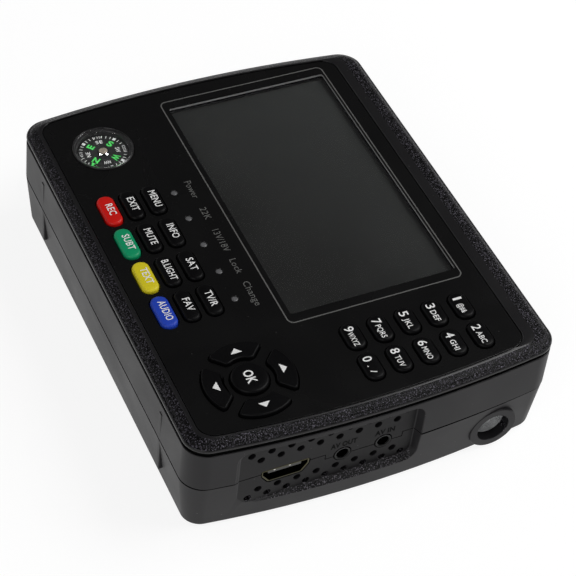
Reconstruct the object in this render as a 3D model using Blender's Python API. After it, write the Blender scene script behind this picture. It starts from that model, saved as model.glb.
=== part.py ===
"""Handheld satellite signal meter, built as an assembly of separate pieces.

Metres, +Z up. The base lies at Z = 0. Everything is placed from the middle of the case, which
sits CASE_X along X from the origin, so that the origin is the middle of the whole outline.
+X is the way the key legends read, and +Y is their up.
"""
import math

import bmesh
import bpy
from mathutils import Matrix, Vector

# Fit
GAP = 0.0003
OVERRUN = 0.002
EMBED = 0.0008

# Display, round which the case is laid out
SCREEN_WIDTH = 0.09504
SCREEN_DEPTH = 0.05386
SCREEN_BORDER = 0.0011
SCREEN_LEFT_MARGIN = 0.01458
SCREEN_BACK_MARGIN = 0.01737
WINDOW_THICKNESS = 0.0008
WINDOW_LEDGE = 0.0022
WINDOW_CORNER = 0.001
LCD_CLEARANCE = 0.0005
FRAME_SIDE = 0.0042
FRAME_END = 0.0038
FRAME_FLOOR = 0.0003
FRAME_HEIGHT = 0.0021
GASKET_WIDTH = 0.0030

# Digit keys, to the right of the display
DIGIT_GAP = 0.01053
DIGIT_RIGHT_MARGIN = 0.0097
DIGIT_DROP = 0.00483
DIGIT_PITCH_X = 0.01245
DIGIT_PITCH_Y = 0.00915
DIGIT_KEY_LENGTH = 0.0109
DIGIT_KEY_WIDTH = 0.0061

# Function keys, in rows in front of the display
FUNCTION_FRONT_MARGIN = 0.01285
FUNCTION_MIDDLE_X = -0.0018
FUNCTION_PITCH_X = 0.0151
FUNCTION_PITCH_Y = 0.00735
COLOUR_KEY_LENGTH = 0.0133
COLOUR_KEY_WIDTH = 0.0057
PLAIN_KEY_LENGTH = 0.0131
PLAIN_KEY_WIDTH = 0.0053

# All keys
KEY_PROUD = 0.0012
KEY_FILLET = 0.0005
KEY_FLANGE = 0.0005
KEY_FLANGE_THICKNESS = 0.001
KEY_POST_INSET = 0.0012
KEY_TRAVEL = 0.0008
CONTACT_AIR = 0.0004

# Cursor pad
PAD_RIGHT_MARGIN = 0.0230
PAD_RISE = 0.01345
PAD_RADIUS = 0.0142
PAD_INNER_RADIUS = 0.0078
PAD_SLIT = 0.0038
PAD_FLANGE = 0.0006
OK_RADIUS = 0.0058
OK_PROUD = 0.0015
OK_LUG_REACH = 0.0071
OK_LUG_WIDTH = 0.0018

# Signal lamps, between the function keys and the display
LAMP_MIDDLE_X = -0.0016
LAMP_PITCH = 0.0121
LAMP_RISE = 0.00745
LAMP_SCREEN_GAP = 0.01437
LAMP_RADIUS = 0.001
LAMP_COUNT = 5
LAMP_BAR_WIDTH = 0.003
LAMP_BAR_THICKNESS = 0.002
LAMP_SINK = 0.0001

# Compass
COMPASS_LEFT_MARGIN = 0.0245
COMPASS_RISE = 0.00825
COMPASS_RIM_RADIUS = 0.0099
COMPASS_RIM_OVERLAP = 0.0006
COMPASS_WALL = 0.0008
COMPASS_RIM_PROUD = 0.0005
COMPASS_CUP_DEPTH = 0.0034
COMPASS_CUP_FLOOR = 0.0008
COMPASS_LEDGE = 0.0004
COMPASS_WINDOW_SINK = 0.0003
COMPASS_WINDOW_THICKNESS = 0.0008
COMPASS_CARD_AIR = 0.0012
COMPASS_CARD_MARGIN = 0.0003
COMPASS_CARD_THICKNESS = 0.0006
COMPASS_CAP_RADIUS = 0.0014
COMPASS_CAP_HEIGHT = 0.0009
COMPASS_PIN_RADIUS = 0.0005

# Case
CASE_CORNER = 0.009
CASE_BOW = 0.0042
PARTING_Z = 0.0195
WALL = 0.0022
FLOOR = 0.0022
BASE_ROUND = 0.0015
BASE_DRAFT = 0.0015
WALL_TOP_DRAFT = 0.0009
GROOVE_DROP = 0.0008
GROOVE_HEIGHT = 0.0005
GROOVE_DEPTH = 0.0015
RIM_DRAFT = 0.0003
RIM_HEIGHT = 0.0014
RIM_ROUND = 0.0009
CROWN_FALL = 0.0005
CROWN_INSET = 0.0028
LIP_PROUD = 0.0002
LIP_WIDTH = 0.0004
PLATE_THICKNESS = 0.0022

# Front panel, a printed overlay in a pocket of the front cover
PANEL_THICKNESS = 0.0008
PANEL_SIDE_MARGIN = 0.0046
PANEL_FRONT_MARGIN = 0.0054
PANEL_BACK_MARGIN = 0.0102
PANEL_CORNER = 0.0045
PANEL_BOW = 0.0034

# Circuit boards and the keypad sheet
BOARD_THICKNESS = 0.0016
BOARD_SIDE_MARGIN = 0.0081
BOARD_FRONT_MARGIN = 0.0138
BOARD_LIFT = 0.0110
BOARD_SPACING = 0.0164
BOARD_CELL_GAP = 0.0021
FRONT_BOARD_MARGIN = 0.0043
BOSS_CLEARANCE = 0.001
KEYPAD_ROOM = 0.0040
SHEET_THICKNESS = 0.0012
SHEET_MARGIN = 0.0022
SHEET_RELIEF = 0.0004
POST_RADIUS = 0.002
POST_SIDE_MARGIN = 0.0134
POST_BACK_MARGIN = 0.0083
POST_FRONT_MARGIN = 0.0363
POST_PAD_GAP = 0.008
POST_SCREEN_GAP = 0.0075
MAIN_POST_SIDE_MARGIN = 0.0146
MAIN_POST_END_MARGIN = 0.0065

# Port recesses in the side walls, which slope out towards their mouths
RECESS_DEPTH = 0.0032
RECESS_BACKING = 0.002
RECESS_CORNER = 0.003
RECESS_FLARE = 0.0017
RECESS_TOP_MARGIN = 0.0024
RECESS_BOTTOM_Z = 0.0088
RIGHT_RECESS_MARGIN = 0.0157
RIGHT_RECESS_LENGTH = 0.0567
LEFT_RECESS_MARGIN = 0.0183
LEFT_RECESS_LENGTH = 0.0680
BACKING_INSET = 0.0016
BACKING_REACH = 0.0025
VENT_RADIUS = 0.0012
VENT_PITCH = 0.00628
VENT_MARGIN = 0.0034
VENT_EDGE_DROP = 0.0025
VENT_EDGE_RISE = 0.0013
VENT_ROW_PITCH = 0.003

# Sockets in the right-hand recess
VIDEO_PLACE = 0.0149
VIDEO_WIDTH = 0.0152
VIDEO_HEIGHT = 0.0054
VIDEO_FOOT_WIDTH = 0.0107
VIDEO_SHOULDER = 0.0022
VIDEO_SKIN = 0.0005
VIDEO_DEPTH = 0.011
VIDEO_TONGUE = 0.0012
SOCKET_SINK = 0.0001
JACK_OUT_PLACE = 0.0334
JACK_PITCH = 0.0135
JACK_RING_RADIUS = 0.0028
JACK_BORE_RADIUS = 0.0018
JACK_BODY_WIDTH = 0.0066
JACK_BODY_HEIGHT = 0.0054
JACK_BODY_LENGTH = 0.0110
JACK_BORE_DEPTH = 0.0105
TAB_PLACE = 0.0279
TAB_LENGTH = 0.0251
TAB_DROP = 0.0020

# Sockets and switch in the left-hand recess
LNB_PLACE = 0.0120
LNB_RADIUS = 0.00475
LNB_NUT_RADIUS = 0.0058
LNB_NUT_THICKNESS = 0.0012
LNB_REACH = 0.0090
LNB_BORE_RADIUS = 0.0022
LNB_BORE_DEPTH = 0.006
LNB_CHAMFER = 0.0006
DC_GAP = 0.018
DC_BORE_RADIUS = 0.0031
DC_NOSE_RADIUS = 0.0045
DC_PIN_RADIUS = 0.0009
DC_BODY_WIDTH = 0.0100
DC_BODY_HEIGHT = 0.0105
DC_BODY_LENGTH = 0.0120
DC_BORE_DEPTH = 0.0090
DATA_GAP = 0.0155
DATA_WIDTH = 0.0132
DATA_HEIGHT = 0.0057
DATA_SKIN = 0.0004
DATA_DEPTH = 0.0110
DATA_TONGUE_THICKNESS = 0.0018
DATA_TONGUE_MARGIN = 0.0007
SWITCH_GAP = 0.0150
SWITCH_BODY_WIDTH = 0.0110
SWITCH_BODY_HEIGHT = 0.0056
SWITCH_BODY_DEPTH = 0.0050
SWITCH_TRAVEL = 0.0030
SWITCH_KNOB_WIDTH = 0.0036
SWITCH_KNOB_HEIGHT = 0.0030
SWITCH_KNOB_REACH = 0.0018
SWITCH_SOCKET_DEPTH = 0.0015

# Tuner, speaker and battery
TUNER_LENGTH = 0.036
TUNER_WIDTH = 0.0236
TUNER_HEIGHT = 0.0112
SPEAKER_RIGHT_MARGIN = 0.0406
SPEAKER_BACK_MARGIN = 0.0233
SPEAKER_RADIUS = 0.0140
SPEAKER_FRAME_HEIGHT = 0.0042
SPEAKER_MAGNET_RADIUS = 0.0080
SPEAKER_MAGNET_HEIGHT = 0.0050
GRILLE_HOLE_RADIUS = 0.0010
GRILLE_PITCH = 0.0040
GRILLE_RINGS = 2
CELL_LEFT_MARGIN = 0.0181
CELL_BACK_MARGIN = 0.0040
CELL_RADIUS = 0.0091
CELL_LENGTH = 0.065
CELL_CAP_RADIUS = 0.003
CELL_CAP_HEIGHT = 0.001
CRADLE_WIDTH = 0.0014
CRADLE_HEIGHT = 0.0055

# Torch
TORCH_BACK_MARGIN = 0.0199
TORCH_Z = 0.0096
TORCH_SINK = 0.0010
TORCH_BORE_RADIUS = 0.00535
TORCH_COLLAR_WALL = 0.00225
TORCH_LEDGE = 0.00105
TORCH_LENS_DEPTH = 0.0052
TORCH_LENS_THICKNESS = 0.0015
TORCH_TUBE_LENGTH = 0.0120
TORCH_LAMP_CLEARANCE = 0.0005
TORCH_LAMP_FLANGE = 0.0024
TORCH_LAMP_FLANGE_THICKNESS = 0.0015
TORCH_LAMP_DOME = 0.0016

# Screws and their bosses
SCREW_SIDE_MARGIN = 0.0121
SCREW_END_MARGIN = 0.0078
BOSS_WALL = 0.0024
BOSS_BORE_RADIUS = 0.0016
BOSS_ROOF = 0.0042
COUNTERBORE_TOP_Z = 0.0100
SCREW_HEAD_RADIUS = 0.0028
SCREW_HEAD_HEIGHT = 0.0018
SCREW_LENGTH = 0.018
SCREW_SLOT_WIDTH = 0.0008
SCREW_SLOT_DEPTH = 0.0009

# Grip ribs on the front and back walls
RIB_INSET = 0.026
RIB_WIDTH = 0.0020
RIB_DEPTH = 0.0032
RIB_BOTTOM_Z = 0.0063
RIB_TOP_DROP = 0.0032

# Steps of the round stretches
CORNER_STEPS = 6
SIDE_STEPS = 5
KEY_STEPS = 5
ROUND_STEPS = 24
SMALL_STEPS = 12
VENT_STEPS = 8

# Plan, worked out from the sizes above
OPENING_WIDTH = SCREEN_WIDTH + 2 * SCREEN_BORDER
OPENING_DEPTH = SCREEN_DEPTH + 2 * SCREEN_BORDER
WINDOW_WIDTH = OPENING_WIDTH + 2 * WINDOW_LEDGE
WINDOW_DEPTH = OPENING_DEPTH + 2 * WINDOW_LEDGE
CASE_WIDTH = (SCREEN_LEFT_MARGIN + SCREEN_WIDTH + DIGIT_GAP + DIGIT_KEY_LENGTH + DIGIT_PITCH_X
              + DIGIT_RIGHT_MARGIN)
CASE_DEPTH = (FUNCTION_FRONT_MARGIN + 2 * FUNCTION_PITCH_Y + LAMP_RISE + LAMP_SCREEN_GAP + SCREEN_DEPTH
              + SCREEN_BACK_MARGIN)
RIGHT, LEFT = CASE_WIDTH / 2, -CASE_WIDTH / 2
BACK, FRONT = CASE_DEPTH / 2, -CASE_DEPTH / 2
CASE_X = LNB_REACH / 2
SCREEN_X = LEFT + SCREEN_LEFT_MARGIN + SCREEN_WIDTH / 2
SCREEN_Y = BACK - SCREEN_BACK_MARGIN - SCREEN_DEPTH / 2
DIGIT_X = RIGHT - DIGIT_RIGHT_MARGIN - DIGIT_KEY_LENGTH / 2 - DIGIT_PITCH_X
DIGIT_Y = BACK - SCREEN_BACK_MARGIN - DIGIT_DROP
FUNCTION_X = FUNCTION_MIDDLE_X - 3 * FUNCTION_PITCH_X / 2
FUNCTION_Y = FRONT + FUNCTION_FRONT_MARGIN
LAMP_X = LAMP_MIDDLE_X - (LAMP_COUNT - 1) * LAMP_PITCH / 2
LAMP_Y = FUNCTION_Y + 2 * FUNCTION_PITCH_Y + LAMP_RISE
PAD_X = RIGHT - PAD_RIGHT_MARGIN
PAD_Y = FUNCTION_Y + PAD_RISE
COMPASS_X = LEFT + COMPASS_LEFT_MARGIN
COMPASS_Y = FUNCTION_Y + COMPASS_RISE
PANEL_WIDTH = CASE_WIDTH - 2 * PANEL_SIDE_MARGIN
PANEL_DEPTH = CASE_DEPTH - PANEL_FRONT_MARGIN - PANEL_BACK_MARGIN
PANEL_Y = (PANEL_FRONT_MARGIN - PANEL_BACK_MARGIN) / 2
SCREW_X = RIGHT - SCREW_SIDE_MARGIN
SCREW_Y = BACK - SCREW_END_MARGIN
CELL_X = LEFT + CELL_LEFT_MARGIN + CELL_LENGTH / 2
CELL_BACK_Y = BACK - CELL_BACK_MARGIN - CELL_RADIUS
CELL_FRONT_Y = CELL_BACK_Y - 2 * CELL_RADIUS - GAP
BOARD_RIGHT = RIGHT - BOARD_SIDE_MARGIN
MAIN_BOARD_FRONT = FRONT + BOARD_FRONT_MARGIN
MAIN_BOARD_BACK = CELL_FRONT_Y - CELL_RADIUS - BOARD_CELL_GAP
SPEAKER_X = RIGHT - SPEAKER_RIGHT_MARGIN
SPEAKER_Y = BACK - SPEAKER_BACK_MARGIN
TORCH_Y = BACK - TORCH_BACK_MARGIN
RIB_X = RIGHT - RIB_INSET
RECESS_FLOOR_X = RIGHT - RECESS_DEPTH
RECESS_INNER_X = RECESS_FLOOR_X - RECESS_BACKING
SOCKET_FACE_X = RECESS_FLOOR_X - SOCKET_SINK
RIGHT_RECESS_FRONT = FRONT + RIGHT_RECESS_MARGIN
RIGHT_RECESS_BACK = RIGHT_RECESS_FRONT + RIGHT_RECESS_LENGTH
LEFT_RECESS_FRONT = FRONT + LEFT_RECESS_MARGIN
LEFT_RECESS_BACK = LEFT_RECESS_FRONT + LEFT_RECESS_LENGTH
VIDEO_Y = RIGHT_RECESS_FRONT + VIDEO_PLACE
JACK_OUT_Y = RIGHT_RECESS_FRONT + JACK_OUT_PLACE
TAB_FRONT = RIGHT_RECESS_FRONT + TAB_PLACE
TAB_BACK = TAB_FRONT + TAB_LENGTH
LNB_Y = LEFT_RECESS_FRONT + LNB_PLACE
DC_Y = LNB_Y + DC_GAP
DATA_Y = DC_Y + DATA_GAP
SWITCH_Y = DATA_Y + SWITCH_GAP
TORCH_COLLAR_X = RIGHT - TORCH_SINK
LENS_OUTER_X = TORCH_COLLAR_X - TORCH_LENS_DEPTH
LENS_INNER_X = LENS_OUTER_X - TORCH_LENS_THICKNESS
LEDGE_X = LENS_INNER_X - GAP
TORCH_TUBE_END_X = TORCH_COLLAR_X - TORCH_TUBE_LENGTH

# Radii that follow from their neighbours
COMPASS_CUP_RADIUS = COMPASS_RIM_RADIUS - COMPASS_RIM_OVERLAP
COMPASS_BORE_RADIUS = COMPASS_CUP_RADIUS - COMPASS_WALL
COMPASS_CARD_RADIUS = COMPASS_BORE_RADIUS - COMPASS_LEDGE - COMPASS_CARD_MARGIN
TORCH_COLLAR_RADIUS = TORCH_BORE_RADIUS + TORCH_COLLAR_WALL
TORCH_LEDGE_RADIUS = TORCH_BORE_RADIUS - TORCH_LEDGE
TORCH_LAMP_RADIUS = TORCH_LEDGE_RADIUS - TORCH_LAMP_CLEARANCE
TORCH_FLANGE_RADIUS = TORCH_LAMP_RADIUS + TORCH_LAMP_FLANGE
BOSS_RADIUS = BOSS_BORE_RADIUS + BOSS_WALL
COUNTERBORE_RADIUS = SCREW_HEAD_RADIUS + GAP
SCREW_SHANK_RADIUS = BOSS_BORE_RADIUS - GAP

# Heights, stacked up from the base
MAIN_BOARD_BOTTOM_Z = FLOOR + BOARD_LIFT
MAIN_BOARD_TOP_Z = MAIN_BOARD_BOTTOM_Z + BOARD_THICKNESS
ON_MAIN_BOARD_Z = MAIN_BOARD_TOP_Z + GAP
FRONT_BOARD_TOP_Z = MAIN_BOARD_TOP_Z + BOARD_SPACING
PLATE_BOTTOM_Z = FRONT_BOARD_TOP_Z + KEYPAD_ROOM
PLATE_TOP_Z = PLATE_BOTTOM_Z + PLATE_THICKNESS
PANEL_BOTTOM_Z = PLATE_TOP_Z + GAP
PANEL_TOP_Z = PANEL_BOTTOM_Z + PANEL_THICKNESS
LIP_Z = PANEL_TOP_Z + LIP_PROUD
CROWN_Z = LIP_Z - CROWN_FALL
WALL_TOP_Z = PLATE_BOTTOM_Z - GROOVE_DROP
RIM_BOTTOM_Z = WALL_TOP_Z + GROOVE_HEIGHT
RIM_TOP_Z = RIM_BOTTOM_Z + RIM_HEIGHT
WINDOW_BOTTOM_Z = PLATE_TOP_Z - WINDOW_THICKNESS
FRAME_BOTTOM_Z = FRONT_BOARD_TOP_Z + GAP
FRAME_LIP_Z = FRAME_BOTTOM_Z + FRAME_HEIGHT
LCD_BOTTOM_Z = FRAME_BOTTOM_Z + FRAME_FLOOR + GAP
LCD_TOP_Z = WINDOW_BOTTOM_Z - LCD_CLEARANCE
SHEET_BOTTOM_Z = FRONT_BOARD_TOP_Z + GAP
SHEET_TOP_Z = SHEET_BOTTOM_Z + SHEET_THICKNESS
KEY_POST_BOTTOM_Z = FRONT_BOARD_TOP_Z + KEY_TRAVEL + CONTACT_AIR
KEY_FLANGE_TOP_Z = PLATE_BOTTOM_Z - GAP
KEY_FLANGE_BOTTOM_Z = KEY_FLANGE_TOP_Z - KEY_FLANGE_THICKNESS
KEY_TOP_Z = PANEL_TOP_Z + KEY_PROUD
OK_TOP_Z = PANEL_TOP_Z + OK_PROUD
COMPASS_RIM_TOP_Z = PANEL_TOP_Z + COMPASS_RIM_PROUD
COMPASS_CUP_BOTTOM_Z = PLATE_BOTTOM_Z - COMPASS_CUP_DEPTH
COMPASS_WINDOW_TOP_Z = COMPASS_RIM_TOP_Z - COMPASS_WINDOW_SINK
COMPASS_WINDOW_BOTTOM_Z = COMPASS_WINDOW_TOP_Z - COMPASS_WINDOW_THICKNESS
COMPASS_CARD_TOP_Z = COMPASS_WINDOW_BOTTOM_Z - COMPASS_CARD_AIR
BOSS_BORE_TOP_Z = PLATE_BOTTOM_Z - BOSS_ROOF
SCREW_HEAD_TOP_Z = COUNTERBORE_TOP_Z - GAP
SCREW_HEAD_BOTTOM_Z = SCREW_HEAD_TOP_Z - SCREW_HEAD_HEIGHT
RIB_TOP_Z = WALL_TOP_Z - RIB_TOP_DROP
RECESS_TOP_Z = WALL_TOP_Z - RECESS_TOP_MARGIN
VIDEO_TOP_Z = ON_MAIN_BOARD_Z + VIDEO_HEIGHT
JACK_Z = ON_MAIN_BOARD_Z + JACK_BODY_HEIGHT / 2
LNB_Z = ON_MAIN_BOARD_Z + LNB_NUT_RADIUS
DC_Z = ON_MAIN_BOARD_Z + DC_BODY_HEIGHT / 2
DATA_Z = ON_MAIN_BOARD_Z + DATA_HEIGHT / 2
SWITCH_Z = ON_MAIN_BOARD_Z + SWITCH_BODY_HEIGHT / 2
CELL_Z = FLOOR + GAP + CELL_RADIUS

# Rows of holes, posts and keys
VENT_TOP_Z = RECESS_TOP_Z - VENT_EDGE_DROP
VENT_LOW_Z = RECESS_BOTTOM_Z + VENT_EDGE_RISE
TOP_VENT_ROWS = ((0, 9, VENT_TOP_Z), (1, 8, VENT_TOP_Z - VENT_ROW_PITCH))
LOW_VENT_ROWS = ((1, 8, VENT_LOW_Z + VENT_ROW_PITCH), (0, 9, VENT_LOW_Z))
FRONT_POST_PLACES = (
    (LEFT + POST_SIDE_MARGIN, FRONT + POST_FRONT_MARGIN),
    (RIGHT - POST_SIDE_MARGIN, PAD_Y + PAD_RADIUS + POST_PAD_GAP),
    (LEFT + 2 * POST_SIDE_MARGIN, BACK - POST_BACK_MARGIN),
    (SCREEN_X + OPENING_WIDTH / 2 + POST_SCREEN_GAP, BACK - POST_BACK_MARGIN),
)
MAIN_POST_X = RIGHT - MAIN_POST_SIDE_MARGIN
MAIN_POST_PLACES = (
    (-MAIN_POST_X, MAIN_BOARD_FRONT + MAIN_POST_END_MARGIN),
    (MAIN_POST_X, MAIN_BOARD_FRONT + MAIN_POST_END_MARGIN),
    (-MAIN_POST_X, MAIN_BOARD_BACK - MAIN_POST_END_MARGIN),
    (MAIN_POST_X, MAIN_BOARD_BACK - MAIN_POST_END_MARGIN),
)
JACKS = (("av_out_jack", JACK_OUT_Y), ("av_in_jack", JACK_OUT_Y + JACK_PITCH))
RECESSES = ((1, RIGHT_RECESS_FRONT, RIGHT_RECESS_BACK), (-1, LEFT_RECESS_FRONT, LEFT_RECESS_BACK))

COLOUR_KEYS = (
    ("key_record", (0.72, 0.02, 0.01)),
    ("key_subtitle", (0.01, 0.30, 0.14)),
    ("key_text", (0.75, 0.62, 0.03)),
    ("key_audio", (0.02, 0.07, 0.52)),
)
PLAIN_KEY_ROWS = (
    ("key_exit", "key_mute", "key_backlight", "key_favourite"),
    ("key_menu", "key_info", "key_satellite", "key_television_radio"),
)
DIGIT_COLUMNS = (
    ("key_1", "key_3", "key_5", "key_7", "key_9"),
    ("key_2", "key_4", "key_6", "key_8", "key_0"),
)
ARROW_KEYS = (("key_right", 0), ("key_up", 90), ("key_left", 180), ("key_down", 270))


# Materials

def material(name, colour, roughness=0.5, metallic=0.0, transmission=0.0):
    made = bpy.data.materials.new(name)
    made.use_nodes = True
    shader = made.node_tree.nodes["Principled BSDF"]
    shader.inputs["Base Color"].default_value = (*colour, 1.0)
    shader.inputs["Roughness"].default_value = roughness
    shader.inputs["Metallic"].default_value = metallic
    shader.inputs["Transmission Weight"].default_value = transmission
    made.diffuse_color = (*colour, 1.0)
    return made


# Flat outlines, as lists of (x, y)

def arc(centre, radius, start, end, steps):
    """Points from start to end degrees round the centre, both ends kept."""
    turns = [math.radians(start + (end - start) * step / steps) for step in range(steps + 1)]
    return [(centre[0] + radius * math.cos(turn), centre[1] + radius * math.sin(turn)) for turn in turns]


def rounded(width, depth, corner, steps=CORNER_STEPS):
    """Rounded rectangle about (0, 0), anticlockwise from its right side."""
    x, y = width / 2 - corner, depth / 2 - corner
    points = []
    for centre, start in (((x, y), 0), ((-x, y), 90), ((-x, -y), 180), ((x, -y), 270)):
        points += arc(centre, corner, start, start + 90, steps)
    return points


def bowed(width, depth, corner, bow):
    """Rounded rectangle whose left and right sides swell out by bow at their middles."""
    points = rounded(width, depth, corner)
    right, left = points[0], points[2 * CORNER_STEPS + 1]
    reach = depth / 2 - corner
    levels = [reach * (2 * step / SIDE_STEPS - 1) for step in range(1, SIDE_STEPS)]
    left_side = [(left[0], -level) for level in levels]
    right_side = [(right[0], level) for level in levels]
    half = 2 * CORNER_STEPS + 2
    points = right_side + points[:half] + left_side + points[half:]
    return [(x * (1 - 2 * bow / width * (2 * y / depth) ** 2), y) for x, y in points]


def stadium(length, width):
    """Outline with round ends, long along X."""
    reach = (length - width) / 2
    return arc((reach, 0), width / 2, -90, 90, KEY_STEPS) + arc((-reach, 0), width / 2, 90, 270, KEY_STEPS)


def circle(radius, steps=ROUND_STEPS):
    return arc((0, 0), radius, 0, 360, steps)[:-1]


def wedge(inner, outer, slit):
    """A quarter of a ring facing +X, with straight sides half a slit from the diagonals."""
    outer_turn = 45 - math.degrees(math.asin(slit / 2 / outer))
    inner_turn = 45 - math.degrees(math.asin(slit / 2 / inner))
    return arc((0, 0), outer, -outer_turn, outer_turn, 7) + arc((0, 0), inner, inner_turn, -inner_turn, 4)


def notched(width, depth, notch_x, notch_y):
    """Rectangle with a square notch out of each corner."""
    x, y = width / 2, depth / 2
    corner = ((x, y - notch_y), (x - notch_x, y - notch_y), (x - notch_x, y))
    quarter = list(corner)
    top = quarter + [(-px, py) for px, py in reversed(quarter)]
    return top + [(-px, -py) for px, py in top]


def moved(points, x, y):
    return [(px + x, py + y) for px, py in points]


# Solids

def finish(name, bm, place, finish_material, smooth=30):
    """Make the mesh an object whose origin is at place, hung from the case's middle."""
    bmesh.ops.recalc_face_normals(bm, faces=bm.faces)
    bmesh.ops.translate(bm, verts=bm.verts, vec=-Vector(place))
    mesh = bpy.data.meshes.new(name)
    bm.to_mesh(mesh)
    bm.free()
    mesh.shade_smooth()
    mesh.set_sharp_from_angle(angle=math.radians(smooth))
    made = bpy.data.objects.new(name, mesh)
    bpy.context.scene.collection.objects.link(made)
    made.parent = case_middle
    made.location = place
    if finish_material:
        mesh.materials.append(finish_material)
    else:
        made.hide_render = True
        made.display_type = "WIRE"
    return made


def add_loft(bm, rings):
    """One closed body: the first ring is filled, and the fill is extruded to each of the others."""
    start = bm.faces.new([bm.verts.new(point) for point in rings[0]])
    cap = start
    for points in rings[1:]:
        extruded = bmesh.ops.extrude_face_region(bm, geom=[cap])["geom"]
        if cap != start:
            bm.faces.remove(cap)
        cap = next(item for item in extruded if isinstance(item, bmesh.types.BMFace))
        for vert, point in zip(cap.verts, points):
            vert.co = point


def level(points, z):
    return [(x, y, z) for x, y in points]


def add_prism(bm, points, bottom, top):
    add_loft(bm, [level(points, bottom), level(points, top)])


def add_prism_x(bm, points, start, end):
    """The same along X, with the outline's two numbers as Y and Z."""
    add_loft(bm, [[(x, y, z) for y, z in points] for x in (start, end)])


def add_box(bm, low, high):
    x0, y0, z0 = low
    x1, y1, z1 = high
    add_prism(bm, [(x0, y0), (x1, y0), (x1, y1), (x0, y1)], z0, z1)


def add_turned(bm, profile, x, y, steps):
    """Turned body about a vertical axis at (x, y), from (radius, z) pairs, bottom to top."""
    add_loft(bm, [level(moved(circle(radius, steps), x, y), z) for radius, z in profile])


def add_turned_x(bm, profile, y, z, steps):
    """Turned body about an axis along X at (y, z), from (radius, x) pairs."""
    add_loft(bm, [[(x, py, pz) for py, pz in moved(circle(radius, steps), y, z)] for radius, x in profile])


def combine(target, operation, bm):
    """Add the shapes in bm to the target, or cut them out of it, with a Boolean."""
    tool = finish(target.name + "_" + operation.lower(), bm, (0, 0, 0), None)
    modifier = target.modifiers.new(operation.title(), "BOOLEAN")
    modifier.operation = operation
    modifier.solver = "EXACT"
    modifier.use_self = True
    modifier.object = tool


# Case rings and walls

def case_ring(inset, z):
    """The case's outline at the parting line, drawn in by inset."""
    return level(bowed(CASE_WIDTH - 2 * inset, CASE_DEPTH - 2 * inset, CASE_CORNER - inset, CASE_BOW), z)


def panel_outline(grow):
    outline = bowed(PANEL_WIDTH + 2 * grow, PANEL_DEPTH + 2 * grow, PANEL_CORNER + grow, PANEL_BOW)
    return moved(outline, 0, PANEL_Y)


def case_half_width(y):
    return CASE_WIDTH / 2 - CASE_BOW * (2 * y / CASE_DEPTH) ** 2


def recess_backing(side, front, back):
    """Plan of the thick wall behind a recess: flat inside, and bowed inside the case wall."""
    front -= BACKING_REACH
    back += BACKING_REACH
    stations = [front + (back - front) * step / SIDE_STEPS for step in range(SIDE_STEPS + 1)]
    bow = [(case_half_width(y) - BACKING_INSET, y) for y in stations]
    points = [(RECESS_INNER_X, front)] + bow + [(RECESS_INNER_X, back)]
    return [(side * x, y) for x, y in points]


def add_recess(bm, side, front, back):
    """Cutter of a recess: its floor is flat and upright, and its walls flare to the mouth."""
    slope = RECESS_FLARE / RECESS_DEPTH
    rings = []
    for x in (RECESS_FLOOR_X, RIGHT + OVERRUN):
        flare = (x - RECESS_FLOOR_X) * slope
        width = back - front + 2 * flare
        height = RECESS_TOP_Z - RECESS_BOTTOM_Z + flare
        middle = (RECESS_TOP_Z + RECESS_BOTTOM_Z - flare) / 2
        outline = moved(rounded(width, height, RECESS_CORNER, KEY_STEPS), (front + back) / 2, middle)
        rings.append([(side * x, y, z) for y, z in outline])
    add_loft(bm, rings)


def rib_box(bm, x, side, bottom, top):
    """One upright grip rib on the front wall (side -1) or on the back wall (side 1)."""
    ends = sorted((side * CASE_DEPTH / 2, side * (CASE_DEPTH / 2 - RIB_DEPTH)))
    add_box(bm, (x - RIB_WIDTH / 2, ends[0], bottom), (x + RIB_WIDTH / 2, ends[1], top))


def corners():
    return [(sx * SCREW_X, sy * SCREW_Y) for sx in (-1, 1) for sy in (-1, 1)]


def add_vents(bm, rows):
    """Vent holes in the right-hand recess. A row that starts at 1 is set half a pitch further back."""
    for start, count, z in rows:
        first = RIGHT_RECESS_FRONT + VENT_MARGIN + start * VENT_PITCH / 2
        for step in range(count):
            hole = moved(circle(VENT_RADIUS, VENT_STEPS), first + step * VENT_PITCH, z)
            add_prism_x(bm, hole, RECESS_INNER_X - OVERRUN, RECESS_FLOOR_X + OVERRUN)


def add_side_holes(bm):
    """Holes through the two recess floors for every socket, and for the switch."""
    right = (RECESS_INNER_X - OVERRUN, RECESS_FLOOR_X + OVERRUN)
    left = (-right[0], -right[1])
    add_prism_x(bm, video_outline(GAP), *right)
    for _, y in JACKS:
        add_prism_x(bm, moved(circle(JACK_RING_RADIUS + GAP, SMALL_STEPS), y, JACK_Z), *right)
    add_prism_x(bm, moved(circle(LNB_RADIUS + GAP), LNB_Y, LNB_Z), *left)
    add_prism_x(bm, moved(circle(DC_NOSE_RADIUS + GAP, SMALL_STEPS), DC_Y, DC_Z), *left)
    add_prism_x(bm, moved(rectangle(DATA_WIDTH + 2 * GAP, DATA_HEIGHT + 2 * GAP), DATA_Y, DATA_Z), *left)
    slot = SWITCH_KNOB_WIDTH + SWITCH_TRAVEL + 2 * GAP
    add_prism_x(bm, moved(rectangle(slot, SWITCH_KNOB_HEIGHT + 2 * GAP), SWITCH_Y, SWITCH_Z), *left)


def rectangle(width, height):
    x, y = width / 2, height / 2
    return [(x, -y), (x, y), (-x, y), (-x, -y)]


def video_outline(grow):
    """Socket outline with two slanted lower corners, as (y, z) points."""
    top = VIDEO_TOP_Z + grow
    bottom = VIDEO_TOP_Z - VIDEO_HEIGHT - grow
    half = VIDEO_WIDTH / 2 + grow
    foot = VIDEO_FOOT_WIDTH / 2 + grow
    shoulder = VIDEO_TOP_Z - VIDEO_SHOULDER
    outline = [(half, shoulder), (half, top), (-half, top), (-half, shoulder)]
    return moved(outline + [(-foot, bottom), (foot, bottom)], VIDEO_Y, 0)


# Keys

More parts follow.
